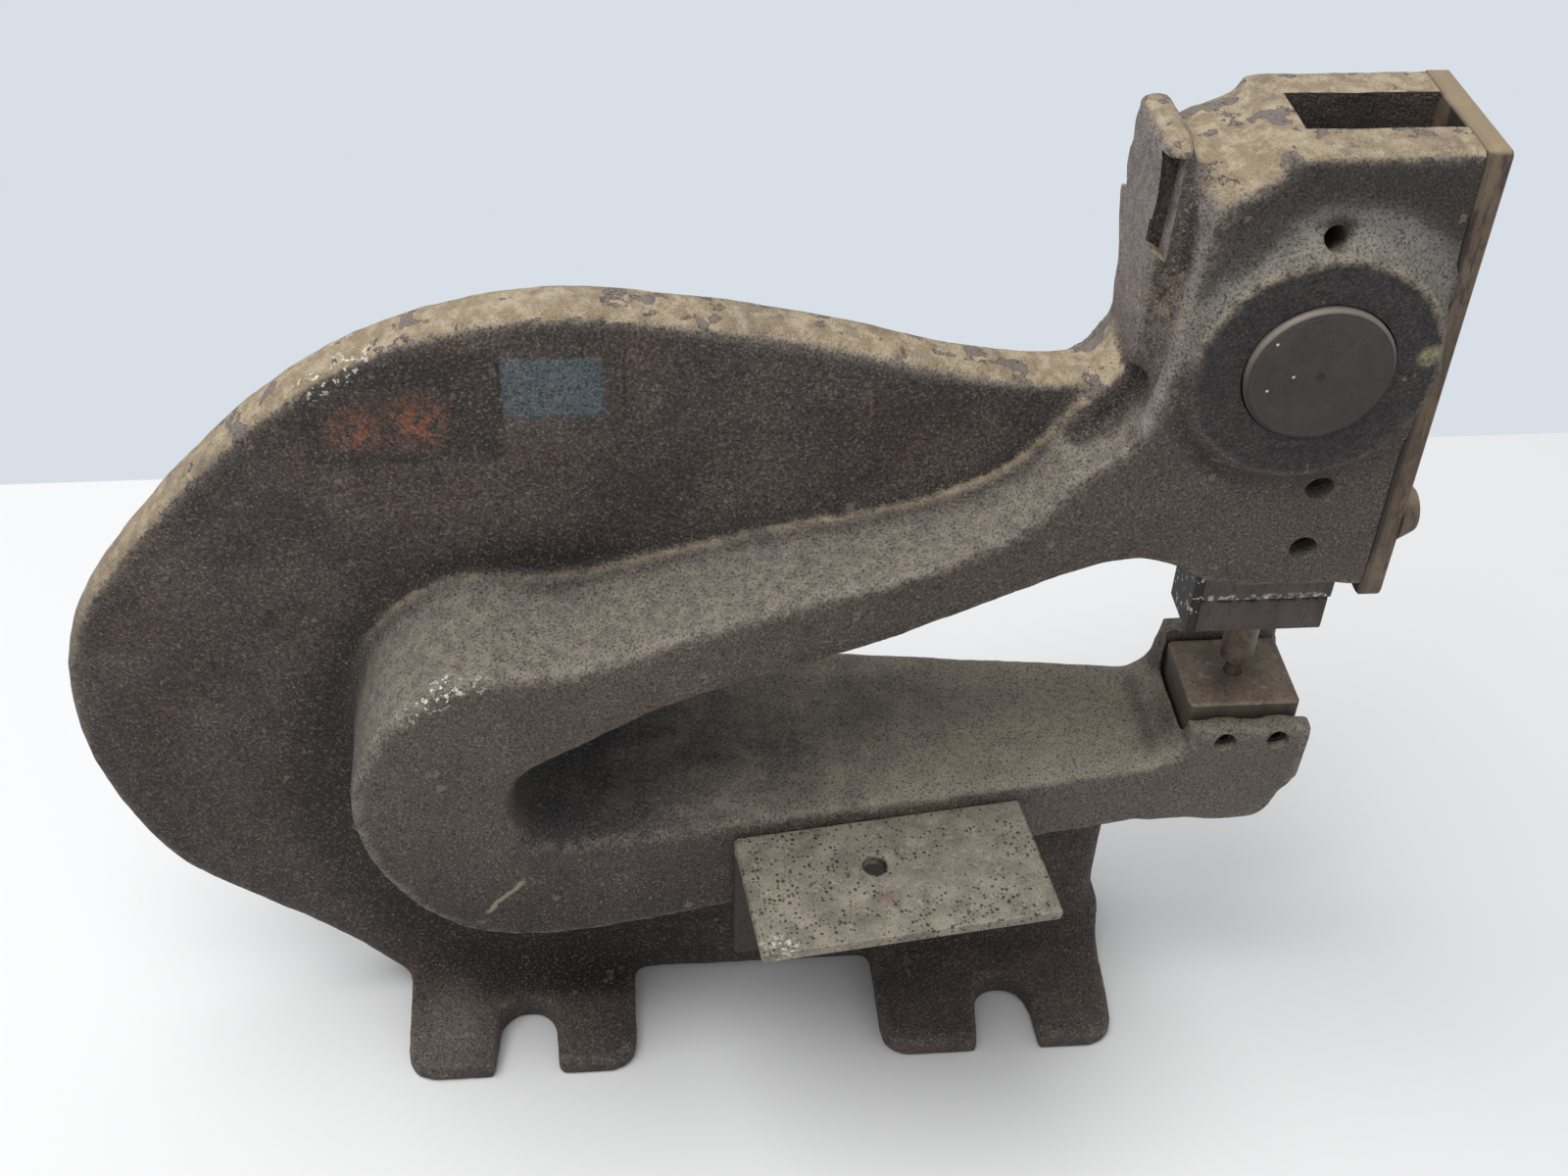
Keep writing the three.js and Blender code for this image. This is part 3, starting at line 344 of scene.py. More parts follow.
def joined(shapes, mesh):
    """Puts several closed shapes into one mesh."""
    whole = bmesh.new()
    for shape in shapes:
        part = bpy.data.meshes.new("part_of_whole")
        shape.to_mesh(part)
        shape.free()
        whole.from_mesh(part)
        bpy.data.meshes.remove(part)
    whole.to_mesh(mesh)
    whole.free()


def with_modifier(piece, kind, **settings):
    """Gives the piece the mesh that a modifier makes of it."""
    made = piece.modifiers.new(kind.lower(), kind)
    for name, value in settings.items():
        setattr(made, name, value)
    graph = bpy.context.evaluated_depsgraph_get()
    mesh = bpy.data.meshes.new_from_object(piece.evaluated_get(graph))
    piece.modifiers.remove(made)
    old = piece.data
    piece.data = mesh
    bpy.data.meshes.remove(old)


def eased(places, edges, share, turns):
    """Moves each point towards the middle of its neighbours, turn by turn."""
    counts = numpy.bincount(edges.ravel(), minlength=len(places))[:, None]
    for _ in range(turns):
        sums = numpy.zeros_like(places)
        numpy.add.at(sums, edges[:, 0], places[edges[:, 1]])
        numpy.add.at(sums, edges[:, 1], places[edges[:, 0]])
        places = places + share * (sums / counts - places)
    return places


def worked(piece, operation, shape, *finishes):
    """Joins a shape to a piece or cuts it out. The new faces get the last of the finishes."""
    for face in shape.faces:
        face.material_index = len(finishes) - 1
    tool = piece_of("tool", shape, *finishes)
    with_modifier(piece, "BOOLEAN", object=tool, operation=operation, solver="MANIFOLD")
    bpy.data.objects.remove(tool)


def cut_from(piece, shape, *finishes):
    worked(piece, "DIFFERENCE", shape, *finishes)


def crown_of_head():
    """The top of the head behind the channel, higher in the middle than at its sides."""
    front = -channel_behind
    side = [(front, 218.4), (-13.8, 214), (-20.9, 210.9), (-22.8, 208), (-23.6, 200), (-24, 190)]
    middle = [(front, 218.4), (-14.6, 216.4), (-22.4, 214.6), (-26.3, 211), (-26, 201), (-24, 190)]
    inside = [(front, 190)]
    cheek, shoulder = head_side + 0.5, 10
    rings = [(-cheek, side), (-shoulder, middle), (shoulder, middle), (cheek, side)]
    return drawn([[at(x, y, z) for x, z in corners + inside] for y, corners in rings])


def lip_of_head():
    """The lip across the rear of the head, whose flanks spread towards the head at its foot."""
    near = [(9.4, 174), (10.1, 181.9), (11, 188.8), (12.6, 193.8), (13.4, 198.7), (12.4, 207.6)]
    far = [(5.8, 176), (6.4, 185.8), (9.2, 189.8), (13.8, 197.7), (11.3, 204.2), (10.1, 211.6)]
    flank = [(-y, z) for y, z in near] + [(-11.5, 216.6), (-9.5, 218.4), (9, 218.4), (10.6, 216.6)]
    flank += reversed(far)
    back, front, waist, run, spread = -31.2, -25.5, 198.5, 12, 5.2

    def wider(y, z):
        return y + math.copysign(min(max(waist - z, 0) / run, 1) * spread, y)

    return drawn([[at(back, y, z) for y, z in flank], [at(front, wider(y, z), z) for y, z in flank]])


iron = Finish("sand_cast_iron", level=0.35)
bare_iron = Finish("machined_iron", metallic=0.3)
casting = piece_of("iron_casting", surface_of("frame"))
neck = [(-24.2, 191), (-25.5, 180), (-28, 168), (-32, 161.5), (-38.5, 157.5), (-44, 158), (-36, 190)]
neck_floor, past_neck = 8, 40
for side in (-1, 1):
    cut_from(casting, side_view(neck, neck_floor * side, past_neck * side), iron.material)

# The hollows are plugged, so that the skin closes over them and is then cut crisply
solid = bmesh.new()
solid.from_mesh(casting.data)
overlap = 0.5
plugs = machined_hollows(overlap, 0)
seat_plug = brick(at(18, -head_side, channel_floor), at(26, head_side, head_top))
pocket_plug = brick(at(-5.65, -11.5, 75), at(20.9, 11.5, 76.8))
joined([solid, *plugs, seat_plug, pocket_plug, crown_of_head(), lip_of_head()], casting.data)
voxel = 1.05
with_modifier(casting, "REMESH", mode="VOXEL", voxel_size=voxel * MM, adaptivity=0)

# Edges are eased all over, and less round the pocket and the rims of the bosses
count = len(casting.data.vertices)
places = numpy.empty(count * 3)
casting.data.vertices.foreach_get("co", places)
places = places.reshape(-1, 3)
edges = numpy.empty(len(casting.data.edges) * 2, dtype=int)
casting.data.edges.foreach_get("vertices", edges)
edges = edges.reshape(-1, 2)
low, high = at(-12, -20, 70), at(30, 20, 95)
by_pocket = numpy.all((places > low) & (places < high), axis=1)
off = places - numpy.array(shaft_axis)
off_shaft = numpy.hypot(off[:, 0], off[:, 2])
rim_inside, rim_outside, rim_foot = 19.5 * MM, 24.5 * MM, 16.5 * MM
by_rim = (off_shaft > rim_inside) & (off_shaft < rim_outside) & (abs(off[:, 1]) > rim_foot)
crisp = (by_pocket | by_rim)[:, None]
crisp_share, soft_share, few_turns, many_turns = 0.12, 0.5, 6, 30
places = eased(places, edges, numpy.where(crisp, crisp_share, soft_share), few_turns)
flattened = eased(places, edges, soft_share, many_turns)
casting.data.vertices.foreach_set("co", places.ravel())
casting.data.update()
normals = numpy.empty(count * 3)
casting.data.vertices.foreach_get("normal", normals)
normals = normals.reshape(-1, 3)
wear_and_shade_field = casting.data.attributes.new("outward", "FLOAT", "POINT")
wear_and_shade_field.data.foreach_set("value", ((places - flattened) * normals).sum(axis=1) / MM)


def sand_wave(place):
    """The uneven skin that the mould left: lumps about 7 mm wide, with smaller ones on them."""
    lumps_per_metre, small_per_metre = 140, 420
    return noise.noise(place * lumps_per_metre) * 0.35 + noise.noise(place * small_per_metre) * 0.2


# The waves sink the skin, and fade out towards the undersides of the feet
wave_height, crest, flat_foot = 0.5 * MM, 0.25, 3 * MM
waves = numpy.array([sand_wave(Vector(place)) for place in places])
sunk = (waves - crest) * wave_height * numpy.clip(places[:, 2] / flat_foot, 0, 1)
places = places + normals * sunk[:, None]
low, high = (numpy.array(corner) for corner in solid_box)
places = numpy.clip(places, low, high)
casting.data.vertices.foreach_set("co", places.ravel())
casting.data.materials.clear()
casting.data.materials.append(iron.material)
casting.data.materials.append(bare_iron.material)

groove = [(-27.4, 215.7), (-30.9, 216), (-31.1, 199), (-28.6, 197.4)]
groove_floor, past_lip = 8.2, 20
for side in (-1, 1):
    cut_from(casting, side_view(groove, groove_floor * side, past_lip * side), iron.material)
seat_side, below_head, above_head, past_head = head_side + 0.3, 118, 226, 34
seat = brick(at(plate_seat, -seat_side, below_head), at(past_head, seat_side, above_head))
pocket_behind, pocket_side, pocket_floor, past_nose, above_nose = 5.15, 11.05, 75.8, 30, 98
pocket = brick(at(-pocket_behind, -pocket_side, pocket_floor), at(past_nose, pocket_side, above_nose))
overrun = 6
for shape in [seat, pocket, *machined_hollows(0, overrun)]:
    cut_from(casting, shape, iron.material, bare_iron.material)
cast_corner = 40
smooth_but_edges(casting.data, cast_corner)
stands_for(casting, "frame", "frame_body")

sand = iron.grain(0.5, 3, 0.7)
lumps = iron.grain(2.4, 3, 0.6)
mottle = iron.grain(17, 4, 0.6)
broad = iron.grain(48, 2, 0.5)
outward = iron.node("ShaderNodeAttribute", {"attribute_name": "outward"}, [], "Fac")
off_middle = iron.across.size()
off_axis = iron.from_axis()

# Brown iron, paler on the nose and the lower arm, dark on the upper cheeks
skin = iron.mix(mottle.rising(0.36, 0.66), paint("403834"), paint("544b45"))
skin = iron.mix(broad.rising(0.5, 0.64) * 0.3, skin, paint("4c423e"))
skin = iron.mix(iron.grain(9, 4, 0.65).rising(0.55, 0.63) * 0.4, skin, paint("5b453a"))
pale_arm = iron.along.rising(-80, 5) * iron.tall.rising(108, 92) * iron.tall.rising(40, 60)
skin = iron.mix(pale_arm * 0.55, skin, paint("736b62"))
low_cheek = off_middle.rising(13, 15) * iron.tall.between(122, 162, 8) * off_axis.rising(26, 34)
skin = iron.mix(low_cheek * 0.4, skin, paint("62594f"))
rib_face = iron.near.rising(0.75, 0.95) * off_middle.rising(25, 29)
low_face = rib_face * iron.tall.rising(88, 66) * iron.along.rising(-60, -110)
skin = iron.mix(low_face * 0.5, skin, paint("2f2a28"))
skin = iron.mix(rib_face * iron.tall.rising(55, 100) * 0.5, skin, paint("665b52"))
# Painted shade on the lower web, under the rib of the lower arm
low_web_shade = iron.tall.rising(115, 50) * off_middle.rising(11, 8)
skin = iron.mix(low_web_shade * 0.45, skin, paint("322c2a"))
# Painted shade in the crease where the web meets the rib, at the back of the lower arm
across_loop, up_loop = (iron.along + 135) / 48, (iron.tall - 68) / 55
from_loop = (across_loop * across_loop + up_loop * up_loop).root()
rib_root_shade = from_loop.rising(1.36, 1.12) * iron.across.between(-15, -3, 2) * iron.along.rising(-80, -130)
skin = iron.mix(rib_root_shade * 0.75, skin, paint("211d1c"))
foot_patch = iron.round_spot(-165, -22, 10, 8, 7) * mottle.rising(0.3, 0.55)
skin = iron.mix(foot_patch * 0.6, skin, paint("7d7269"))
cheeks = off_middle.rising(14, 15.5) * iron.tall.rising(180, 196) * off_axis.rising(24, 28)
skin = iron.mix(cheeks * 0.7, skin, paint("35322f"))

# Tops worn grey, with painted light on all that faces up, and the throat's floor painted dark as shade at
# the back and dusty towards the die
worn_and_lit_grey = iron.mix(lumps.rising(0.35, 0.65), paint("6c665e"), paint("857c71"))
tops_worn_and_lit = iron.up.rising(0.1, 0.75) * iron.tall.rising(84, 104)
skin = iron.mix(tops_worn_and_lit * 0.92, skin, worn_and_lit_grey)
towards_die = (iron.along + (mottle - 0.5) * 130).rising(-150, -45)
throat_floor_shade_and_dust = iron.mix(towards_die, paint("3a3839"), paint("918879"))
in_throat = iron.up.rising(0.35, 0.85) * iron.tall.between(66, 84, 6)
skin = iron.mix(in_throat * 0.92, skin, throat_floor_shade_and_dust)
bloom = in_throat * towards_die * iron.grain(5, 4, 0.7).rising(0.48, 0.62)
skin = iron.mix(bloom * 0.4, skin, paint("a89c88"))
# Painted shade in the corner where the throat's floor meets the nose
corner_shade = iron.round_spot(-8, -5, 80, 6, 7) * mottle.rising(0.25, 0.5)
skin = iron.mix(corner_shade * 0.75, skin, paint("2d2927"))
lip_back = iron.rear.rising(0.5, 0.9) * iron.tall.rising(168, 190)
skin = iron.mix(lip_back * 0.85, skin, iron.mix(lumps.rising(0.4, 0.6), paint("776e6a"), paint("8d827d")))

# Boss: a dark face, a grey slope round it and a pale worn rim
boss_face = off_middle.rising(19.3, 20) * off_axis.rising(22.4, 21.2)
skin = iron.mix(boss_face * 0.85, skin, iron.mix(lumps.rising(0.4, 0.6), paint("2a292a"), paint("383536")))
slope = off_axis.between(24, 31, 3) * off_middle.between(15, 20.5, 0.8) * iron.up.rising(-0.1, 0.35)
skin = iron.mix(slope * 0.88, skin, paint("8b8a82"))
rim = off_axis.between(21, 22.8, 0.4) * off_middle.rising(17, 19) * iron.up.rising(-0.1, 0.4)
skin = iron.mix(rim * lumps.rising(0.3, 0.6) * 0.8, skin, paint("a59a84"))

# Tan dust on all that faces the sky high up, flaking off in grey patches with dark cracks
sky = iron.up + iron.rear * 0.6 * iron.tall.rising(186, 168)
arch = iron.tall.rising(80, 150) * (off_middle.rising(8.5, 6.6)).most(iron.tall.rising(178, 190))
dusty = (sky + (lumps - 0.5) * 0.5 + (sand - 0.5) * 0.3).rising(0.34, 0.72) * arch
dusty = dusty * (1 - boss_face) * off_axis.rising(23.5, 27.5).most(off_middle.rising(16, 14))
dust = iron.mix(iron.grain(3.4, 3, 0.6).rising(0.38, 0.66), paint("92816a"), paint("b0a087"))
thin_dust = iron.grain(13, 3, 0.5).rising(0.48, 0.6) * lumps.rising(0.42, 0.6)
dust = iron.mix(thin_dust * 0.55, dust, paint("6a6358"))
flaking = iron.grain(8, 5, 0.62)
dust = iron.mix(flaking.rising(0.585, 0.592) * 0.9, dust, paint("736a67"))
dust = iron.mix((flaking - 0.588).size().rising(0.011, 0.004) * 0.8, dust, paint("332a25"))
skin = iron.mix(dusty * 0.95, skin, dust)
tan_flank = iron.round_spot(-26, -12, 190, 3, 6).most(iron.round_spot(-24, -15, 176, 1, 5))
skin = iron.mix(tan_flank * lumps.rising(0.4, 0.56) * 0.7, skin, paint("9c8870"))

# Hollows keep oil and soot and are painted darker as shade, and edges are rubbed pale
skin = iron.mix((-outward).rising(0.1, 0.65) * (1 - dusty) * 0.75, skin, paint("242120"))
rubbed_edge = outward.rising(0.3, 0.95) * lumps.rising(0.36, 0.62) * iron.tall.rising(-30, 50)
skin = iron.mix(rubbed_edge * (1 - dusty) * 0.55, skin, paint("8b8175"))

# What is left of two old coats of paint on the near side of the web, blue-grey and orange
on_web = iron.near.rising(0.7, 0.95) * iron.across.between(-8, -4, 1)
ragged = (iron.grain(4, 4, 0.7) - 0.5) * 5
bare_band = iron.along.between(-179, -143.5, 1.2) * iron.tall.between(154.5, 178, 1)
skin = iron.mix(on_web * bare_band * 0.6, skin, paint("2c2829"))
orange_coat = iron.along.between(-176, -154, 0.8) * iron.tall.between(156.5, 171, 0.8)
skin = iron.mix(on_web * orange_coat * 0.7, skin, paint("4b403b"))
orange = iron.round_spot(-158.5, -6.2, 163.5, 4, 4.5).most(iron.round_spot(-170, -6.2, 161.5, 3, 4.5))
skin = iron.mix(on_web * orange * iron.grain(2.2, 3, 0.7).rising(0.38, 0.6) * 0.8, skin, paint("9c5f42"))
blue_coat = (iron.along + ragged).between(-146, -125, 1.5) * iron.tall.between(163.8, 176.4, 0.7)
blue_coat = blue_coat * iron.along.rising(-143.4, -142.4)
skin = iron.mix(on_web * blue_coat * lumps.rising(0.22, 0.42) * 0.8, skin, paint("58656a"))
edge_of_coat = iron.along.between(-143.8, -143, 0.3) + iron.along.between(-121.4, -120.8, 0.3)
skin = iron.mix(on_web * edge_of_coat * iron.tall.between(163, 177, 0.5) * 0.6, skin, paint("1f1b1b"))
cream = iron.round_spot(19.5, -20.6, 181.7, 2, 1.1)
skin = iron.mix(cream * ragged.rising(-1.2, 0.5) * 0.9, skin, paint("a59c77"))

# Grains of sand in the skin, dark and light, and bright bruises on two edges
skin = iron.mix(sand.rising(0.51, 0.33) * 0.8 * (1 - 0.65 * dusty), skin, paint("15110f"))
light_sand = sand.rising(0.52, 0.76) * (1 - 0.7 * dusty) * (1 - 0.6 * boss_face) * (1 - 0.5 * cheeks)
skin = iron.mix(light_sand * (0.25 + 0.6 * mottle), skin, paint("ab9f92"))
knocks = iron.grain(5, 3, 0.6).rising(0.655, 0.68) * lumps.rising(0.4, 0.55)
skin = iron.mix(knocks * (1 - dusty) * 0.5, skin, paint("857b70"))
bruise = iron.round_spot(-174, -5, 177.5, 9, 5) + iron.round_spot(-156.5, -33, 121, 7, 5)
bruise = bruise * outward.rising(0.2, 0.5) * iron.grain(1.3, 2, 0.6).rising(0.58, 0.64)
skin = iron.mix(bruise, skin, paint("d9d2c4"))
slant = iron.tall - iron.along * 0.98 - 210.6 + (lumps - 0.5) * 3
scratch = slant.size().rising(1.3, 0.2) * iron.along.between(-153, -145, 0.8) * off_middle.rising(27, 29)
skin = iron.mix(scratch * iron.near.rising(0.5, 0.9) * 0.75, skin, paint("a39580"))
iron.set(
    Base_Color=skin,
    Roughness=0.78 + 0.14 * dusty - 0.16 * rubbed_edge,
    Normal=iron.relief((iron.grain(6, 3, 0.5), 0.6), (lumps, 0.9), (sand, 0.6)),
)

# The machined hollows: brown oil in the channel, and threads in the tapped holes
oily = bare_iron.grain(4, 4, 0.65, stretch=(1, 1, 0.25))
colour = bare_iron.mix(oily.rising(0.35, 0.65), paint("332c27"), paint("574a3e"))
colour = bare_iron.mix(bare_iron.tall.rising(200, 218) * 0.6, colour, paint("77654e"))
pitch = 1.1
threads = bare_iron.maths("SINE", bare_iron.across * (math.tau / pitch))
tapped = bare_iron.across.rising(-10, -11) * bare_iron.tall.rising(160, 156)
bare_iron.set(
    Base_Color=bare_iron.mix(threads * tapped * 0.5, colour, paint("8a7f70")),
    Roughness=0.55 + 0.2 * oily,
    Normal=bare_iron.relief((threads * tapped, 0.25), (oily, 0.1)),
)


# Die: a square block of hardened steel in the pocket of the nose, with a small round hole.
# Two set screws in the pocket's near wall hold it, sunk below the face of the casting.

square_corner = 32
die_edge, die_top = 0.3, 88.5
land_radius, land_foot = 4.4, 84
hole_radius, hole_foot, above_hole, hole_sides = 1.95, 80, 92, 40


def broken_edges(piece, width, corner):
    """Breaks the edges where faces turn by more than corner, in degrees."""
    bevel = piece.modifiers.new("broken_edges", "BEVEL")
    bevel.width = width * MM
    bevel.segments = 2
    bevel.limit_method = "ANGLE"
    bevel.angle_limit = math.radians(corner)
    bevel.harden_normals = True
    bevel.use_clamp_overlap = True


def skin_of(name, node, body, finish, edge=0.25):
    """A piece over one solid of the frame: the same shape with its edges broken."""
    piece = piece_of(name, surface_of(node), finish)
    smooth_but_edges(piece.data, square_corner)
    for face in piece.data.polygons:
        face.material_index = 0
    if edge:
        broken_edges(piece, edge, square_corner)
    return stands_for(piece, node, body)


def built_on(piece, shape, finish):
    """Joins a shape on to a piece."""
    worked(piece, "UNION", shape, finish)


class Steel(Finish):
    """Old machined steel: oil stain and fine pits, drawn out one way where stretch is given."""

    def __init__(self, name, dark, light, rough=0.5, metallic=0.35, stretch=None):
        super().__init__(name, metallic=metallic)
        self.stain = self.grain(6, 5, 0.65, stretch=stretch)
        self.pits = self.grain(0.6, 3, 0.7, stretch=stretch)
        self.colour = self.mix(self.stain.rising(0.33, 0.67), paint(dark), paint(light))
        self.colour = self.mix(self.pits.rising(0.5, 0.3) * 0.6, self.colour, paint("1c1816"))
        self.rough = rough + 0.25 * self.stain

    def speck(self, where, code):
        """Lays a colour over the steel where the share is."""
        self.colour = self.mix(where, self.colour, paint(code))

    def finished(self, *heights):
        normal = self.relief(*heights, (self.pits, 0.08))
        return self.set(Base_Color=self.colour, Roughness=self.rough, Normal=normal)


die_steel = Steel("die_steel", "594c40", "7c6d5c")
die_steel.speck(die_steel.grain(2, 3, 0.6).rising(0.6, 0.7) * 0.4, "a39179")
die_steel.speck(die_steel.up.rising(0.6, 0.1) * 0.65, "37302a")
# Painted shadow round the punch's tip on the die's top
die_steel.speck(die_steel.round_spot(punch_along, 0, die_top, 5, 2) * 0.4, "3a332d")
die_steel.finished()
die = skin_of("die", "die_block", "frame_body", die_steel.material, edge=0)
land = bar(land_radius, at(punch_along, 0, land_foot), at(punch_along, 0, die_top))
built_on(die, land, die_steel.material)
hole_ends = at(punch_along, 0, hole_foot), at(punch_along, 0, above_hole)
cut_from(die, bar(hole_radius, *hole_ends, hole_sides), die_steel.material)
broken_edges(die, die_edge, square_corner)
sunk_steel = Steel("sunk_screw_steel", "171412", "2b2622")
sunk_steel.finished()
for end in ("rear", "front"):
    skin_of(f"die_set_screw_{end}", f"die_screw_{end}", "frame_body", sunk_steel.material)


# Gauge bracket: a piece of rolled steel angle on the near side of the lower arm.
# Its shelf has one tapped hole, and two screws hold its leg to the casting.

angle_shine = 0.45
angle_steel = Steel("bracket_steel", "746d62", "928a7b", rough=0.45, metallic=angle_shine)
pitted = angle_steel.grain(11, 4, 0.6).rising(0.3, 0.52)
pit_spacing = 0.95
cells = {"Vector": angle_steel.place, "Scale": 1 / (pit_spacing * MM)}
from_pit = angle_steel.node("ShaderNodeTexVoronoi", {}, cells, "Distance")
pit_size = angle_steel.node("ShaderNodeTexVoronoi", {}, cells, "Color").part("X") * 0.42
angle_steel.speck((from_pit - pit_size * pitted).rising(0.06, -0.02) * 0.85, "322c27")
angle_steel.speck(angle_steel.grain(2.4, 5, 0.75).rising(0.56, 0.64) * 0.4, "aaa190")
angle_steel.speck(angle_steel.round_spot(-72.7, -45.3, 73.2, 0.8, 1.2) * 0.6, "7a5236")
# Painted shade: a dark disc seen through the shelf's tapped hole, and all of the angle below its shelf
# dark
angle_steel.speck(angle_steel.round_spot(-74.1, -37.3, 72, 2.8, 0.35) * 0.9, "1d1a18")
shade_under_shelf = angle_steel.tall.rising(70.6, 69.4)
angle_steel.speck(shade_under_shelf * 0.9, "24201d")
shelf_edge = angle_steel.round_spot(-94, -56.5, 73.2, 2.5, 2.5)
shelf_edge = shelf_edge + angle_steel.round_spot(-99.5, -55.5, 73, 1, 1.5)
chipped = angle_steel.grain(1, 2, 0.6).rising(0.54, 0.58)
angle_steel.speck(shelf_edge * chipped * 0.8, "d8d3c6")
angle_steel.finished()
# No shine where the shade under the shelf is painted
angle_steel.set(Metallic=angle_shine * (1 - shade_under_shelf), Specular_IOR_Level=0.2)
skin_of("gauge_angle", "gauge_bracket", "frame_body", angle_steel.material, edge=0.3)
screw_steel = Steel("screw_steel", "3d3631", "5f564e")
screw_steel.finished()
for side in ("left", "right"):
    skin_of(f"gauge_screw_{side}", f"bracket_screw_{side}", "frame_body", screw_steel.material)


# Eccentric shaft: turned steel in the bores of the two bosses, with a pin off its centre.
# The near end shows its facing marks, and the far stub has a cross hole for the lever.

shaft_steel = Steel("shaft_steel", "36312d", "443e39", rough=0.42, metallic=0.45)
turning = shaft_steel.from_axis()
fineness = 2.4
turned = {"W": turning * fineness, "Detail": 3}
marks = shaft_steel.node("ShaderNodeTexNoise", {"noise_dimensions": "1D"}, turned)
shaft_steel.speck(marks.rising(0.5, 0.72) * 0.5, "6a625a")
shaft_steel.speck(marks.rising(0.45, 0.3) * 0.6, "25211e")
# Painted highlight on the upper side of the shaft end's outer edge
shaft_steel.speck(turning.rising(12.7, 13.1) * shaft_steel.up.rising(-0.2, 0.5) * 0.5, "a2988a")
shaft_steel.speck(turning.rising(1.2, 0.5) * 0.6, "1f1b19")
near_end = -21.75
for along, tall in ((-9.1, 185.9), (-4.9, 179.1), (-9.1, 176.3)):
    shaft_steel.speck(shaft_steel.round_spot(along, near_end, tall, 0.25, 0.15) * 0.9, "ded8cc")
shaft_steel.finished((marks, 0.05))
skin_of("turned_shaft", "eccentric_shaft", "shaft_body", shaft_steel.material)


# Ram: the flat steel slide in the head's channel, machined all over.
# The shaft's pin works in its cross slot and drives it up and down.

ram_steel = Steel("ram_steel", "423c37", "59504a", metallic=0.35, stretch=(1, 1, 0.3))
at_seam = ram_steel.tall.between(113.9, 115.4, 0.6)
ram_steel.speck(at_seam * ram_steel.grain(2.2, 4, 0.7).rising(0.49, 0.56) * 0.7, "d2ccc0")
ram_steel.finished()
skin_of("slide", "ram", "ram_body", ram_steel.material)


# Back plate: a thin dark strap of steel behind the ram and the holder, cut from strip.
# Two flush screws hold it.

strap_steel = Steel("back_plate_steel", "1f1c1b", "37322e", metallic=0.3)
strap_steel.speck(strap_steel.grain(2.4, 3, 0.7).rising(0.57, 0.62) * 0.8, "c9c4ba")
strap_steel.finished()
skin_of("rear_strap", "ram_back_plate", "ram_body", strap_steel.material)
for end in ("upper", "lower"):
    skin_of(f"strap_screw_{end}", f"back_plate_screw_{end}", "ram_body", screw_steel.material)


# Punch holder: the steel block under the ram that traps the punch's head.
# Two cap screws from below draw it up against the ram.

skin_of("holder", "punch_holder", "ram_body", ram_steel.material)
for end in ("rear", "front"):
    skin_of(f"holder_cap_screw_{end}", f"holder_screw_{end}", "ram_body", screw_steel.material)


# Punch: hardened and ground steel, brown with old oil, held by its head in the holder.
# Below its shoulder it is turned down to the small tip that stands in the die.

punch_steel = Steel("punch_steel", "574b40", "7d7064", rough=0.35, metallic=0.55)
punch_steel.finished()
punch = skin_of("round_punch", "punch", "ram_body", punch_steel.material, edge=0)
shoulder, below_punch, past_punch = 93.3, 80, 5
turned_off = bar(past_punch, at(punch_along, 0, below_punch), at(punch_along, 0, shoulder))
cut_from(punch, turned_off, punch_steel.material)
tip = [(1.75, 87), (1.75, 93), (2.4, 94.2), (1, 95)]
steps = 48
turn = [math.tau * i / steps for i in range(steps)]
rings = [[at(punch_along + r * math.cos(a), r * math.sin(a), z) for a in turn] for r, z in tip]
built_on(punch, drawn(rings), punch_steel.material)
punch_edge, round_corner = 0.6, 40
broken_edges(punch, punch_edge, round_corner)


# Cover plate: flat steel that closes the front of the ram's channel, held by four screws.
# Its edge is stained along the seam and marked by years of knocks.

cover_steel = Steel("cover_steel", "53463b", "70604f", stretch=(1, 1, 0.3))
cover_steel.speck(cover_steel.along.rising(23.2, 22.2) * 0.85, "221e1b")
cover_steel.speck(cover_steel.grain(9, 4, 0.6, stretch=(1, 1, 0.5)).rising(0.5, 0.62) * 0.4, "857360")
streaks = cover_steel.grain(2.5, 4, 0.7, stretch=(1, 1, 0.2)).rising(0.54, 0.62)
cover_steel.speck(streaks * cover_steel.near.rising(0.5, 0.9) * 0.6, "2c2520")
cover_steel.speck(cover_steel.up.rising(0.5, 0.9) * 0.6, "a38f70")
cover_steel.finished((cover_steel.stain, 0.2))
skin_of("front_cover", "cover_plate", "frame_body", cover_steel.material, edge=0.35)
for place in ("lower_near", "lower_far", "upper_near", "upper_far"):
    skin_of(f"cover_fixing_{place}", f"cover_screw_{place}", "frame_body", cover_steel.material)


# Side screws of the ram: two steel set screws, sunk in the tapped holes of the near cheek.
# They bear on the ram and take up its play.

for end in ("upper", "lower"):
    skin_of(f"play_screw_{end}", f"ram_screw_{end}", "frame_body", sunk_steel.material)


# Bench top: plain and pale, with its far edge close behind the machine.
# Past that edge the room is pale too, and one soft lamp hangs above.

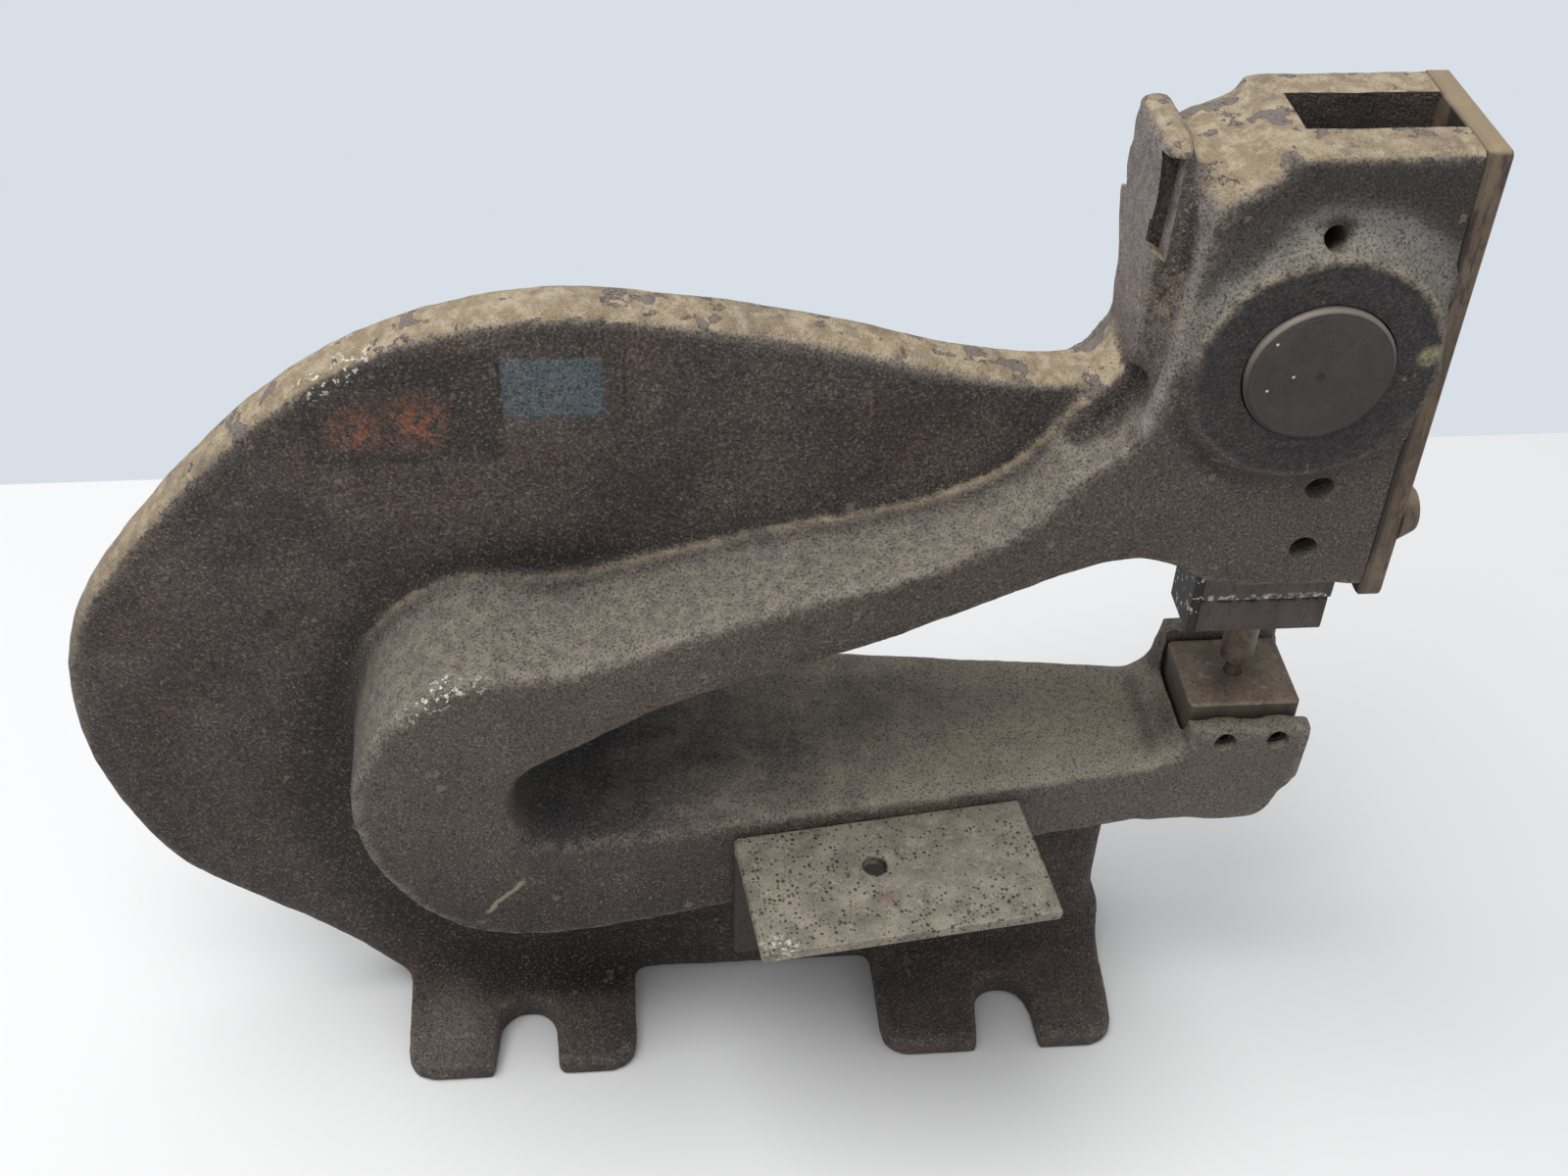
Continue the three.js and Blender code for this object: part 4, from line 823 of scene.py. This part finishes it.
bench = Finish("pale_bench", level=0.2)
bench.set(Base_Color=paint("d9d9d9"), Roughness=0.7)
bench_mesh = bpy.data.meshes.new("bench_top")
reach, far_right, far_left = 2, 0.225, 0.195
bench_corners = [(-reach, -reach, 0), (reach, -reach, 0), (reach, far_right, 0), (-reach, far_left, 0)]
bench_mesh.from_pydata(bench_corners, [], [(0, 1, 2, 3)])
bench_mesh.materials.append(bench.material)
bench_top = bpy.data.objects.new("bench_top", bench_mesh)
bpy.context.scene.collection.objects.link(bench_top)


class Room(Finish):
    """The light from all round, made as a finish is, but of the world."""

    def __init__(self, name):
        self.world = bpy.data.worlds.new(name)
        self.world.use_nodes = True
        self.tree = self.world.node_tree


room = Room("soft_room")
lit = room.node("ShaderNodeBackground", {}, [(0.97, 0.98, 1.0, 1.0), 0.65])
wall = room.node("ShaderNodeBackground", {}, [paint("d8dfe7"), 1.0])
seen = room.node("ShaderNodeLightPath", {}, [], "Is Camera Ray")
seen = seen.most(room.node("ShaderNodeLightPath", {}, [], "Is Glossy Ray"))
shown = room.node("ShaderNodeMixShader", {}, [seen, lit, wall])
room.tree.links.new(shown.socket, room.tree.nodes["World Output"].inputs["Surface"])
bpy.context.scene.world = room.world

lamp = bpy.data.lights.new("window", "AREA")
lamp.shape = "RECTANGLE"
lamp.size = 0.9
lamp.size_y = 0.7
lamp.energy = 12
lamp_place = bpy.data.objects.new("window", lamp)
lamp_spot, lit_spot = Vector((-0.3, -0.12, 1.1)), Vector((0, 0, 0.1))
lamp_place.location = lamp_spot
lamp_place.rotation_euler = (lamp_spot - lit_spot).to_track_quat("Z", "Y").to_euler()
bpy.context.scene.collection.objects.link(lamp_place)

eye = bpy.data.cameras.new("eye")
film_width, photo_width, photo_focus = 36.0, 1600, 1894
eye.sensor_width = film_width
eye.lens = film_width * photo_focus / photo_width
eye.clip_start = 0.01
eye_place = bpy.data.objects.new("eye", eye)
eye_place.location = at(-119.47, -282.8, 359)
tilt, roll, heading = 49.46805, -1.39607, -4.62505
eye_place.rotation_euler = [math.radians(angle) for angle in (tilt, roll, heading)]
bpy.context.scene.collection.objects.link(eye_place)
bpy.context.scene.camera = eye_place

bpy.context.scene.view_settings.view_transform = "Standard"
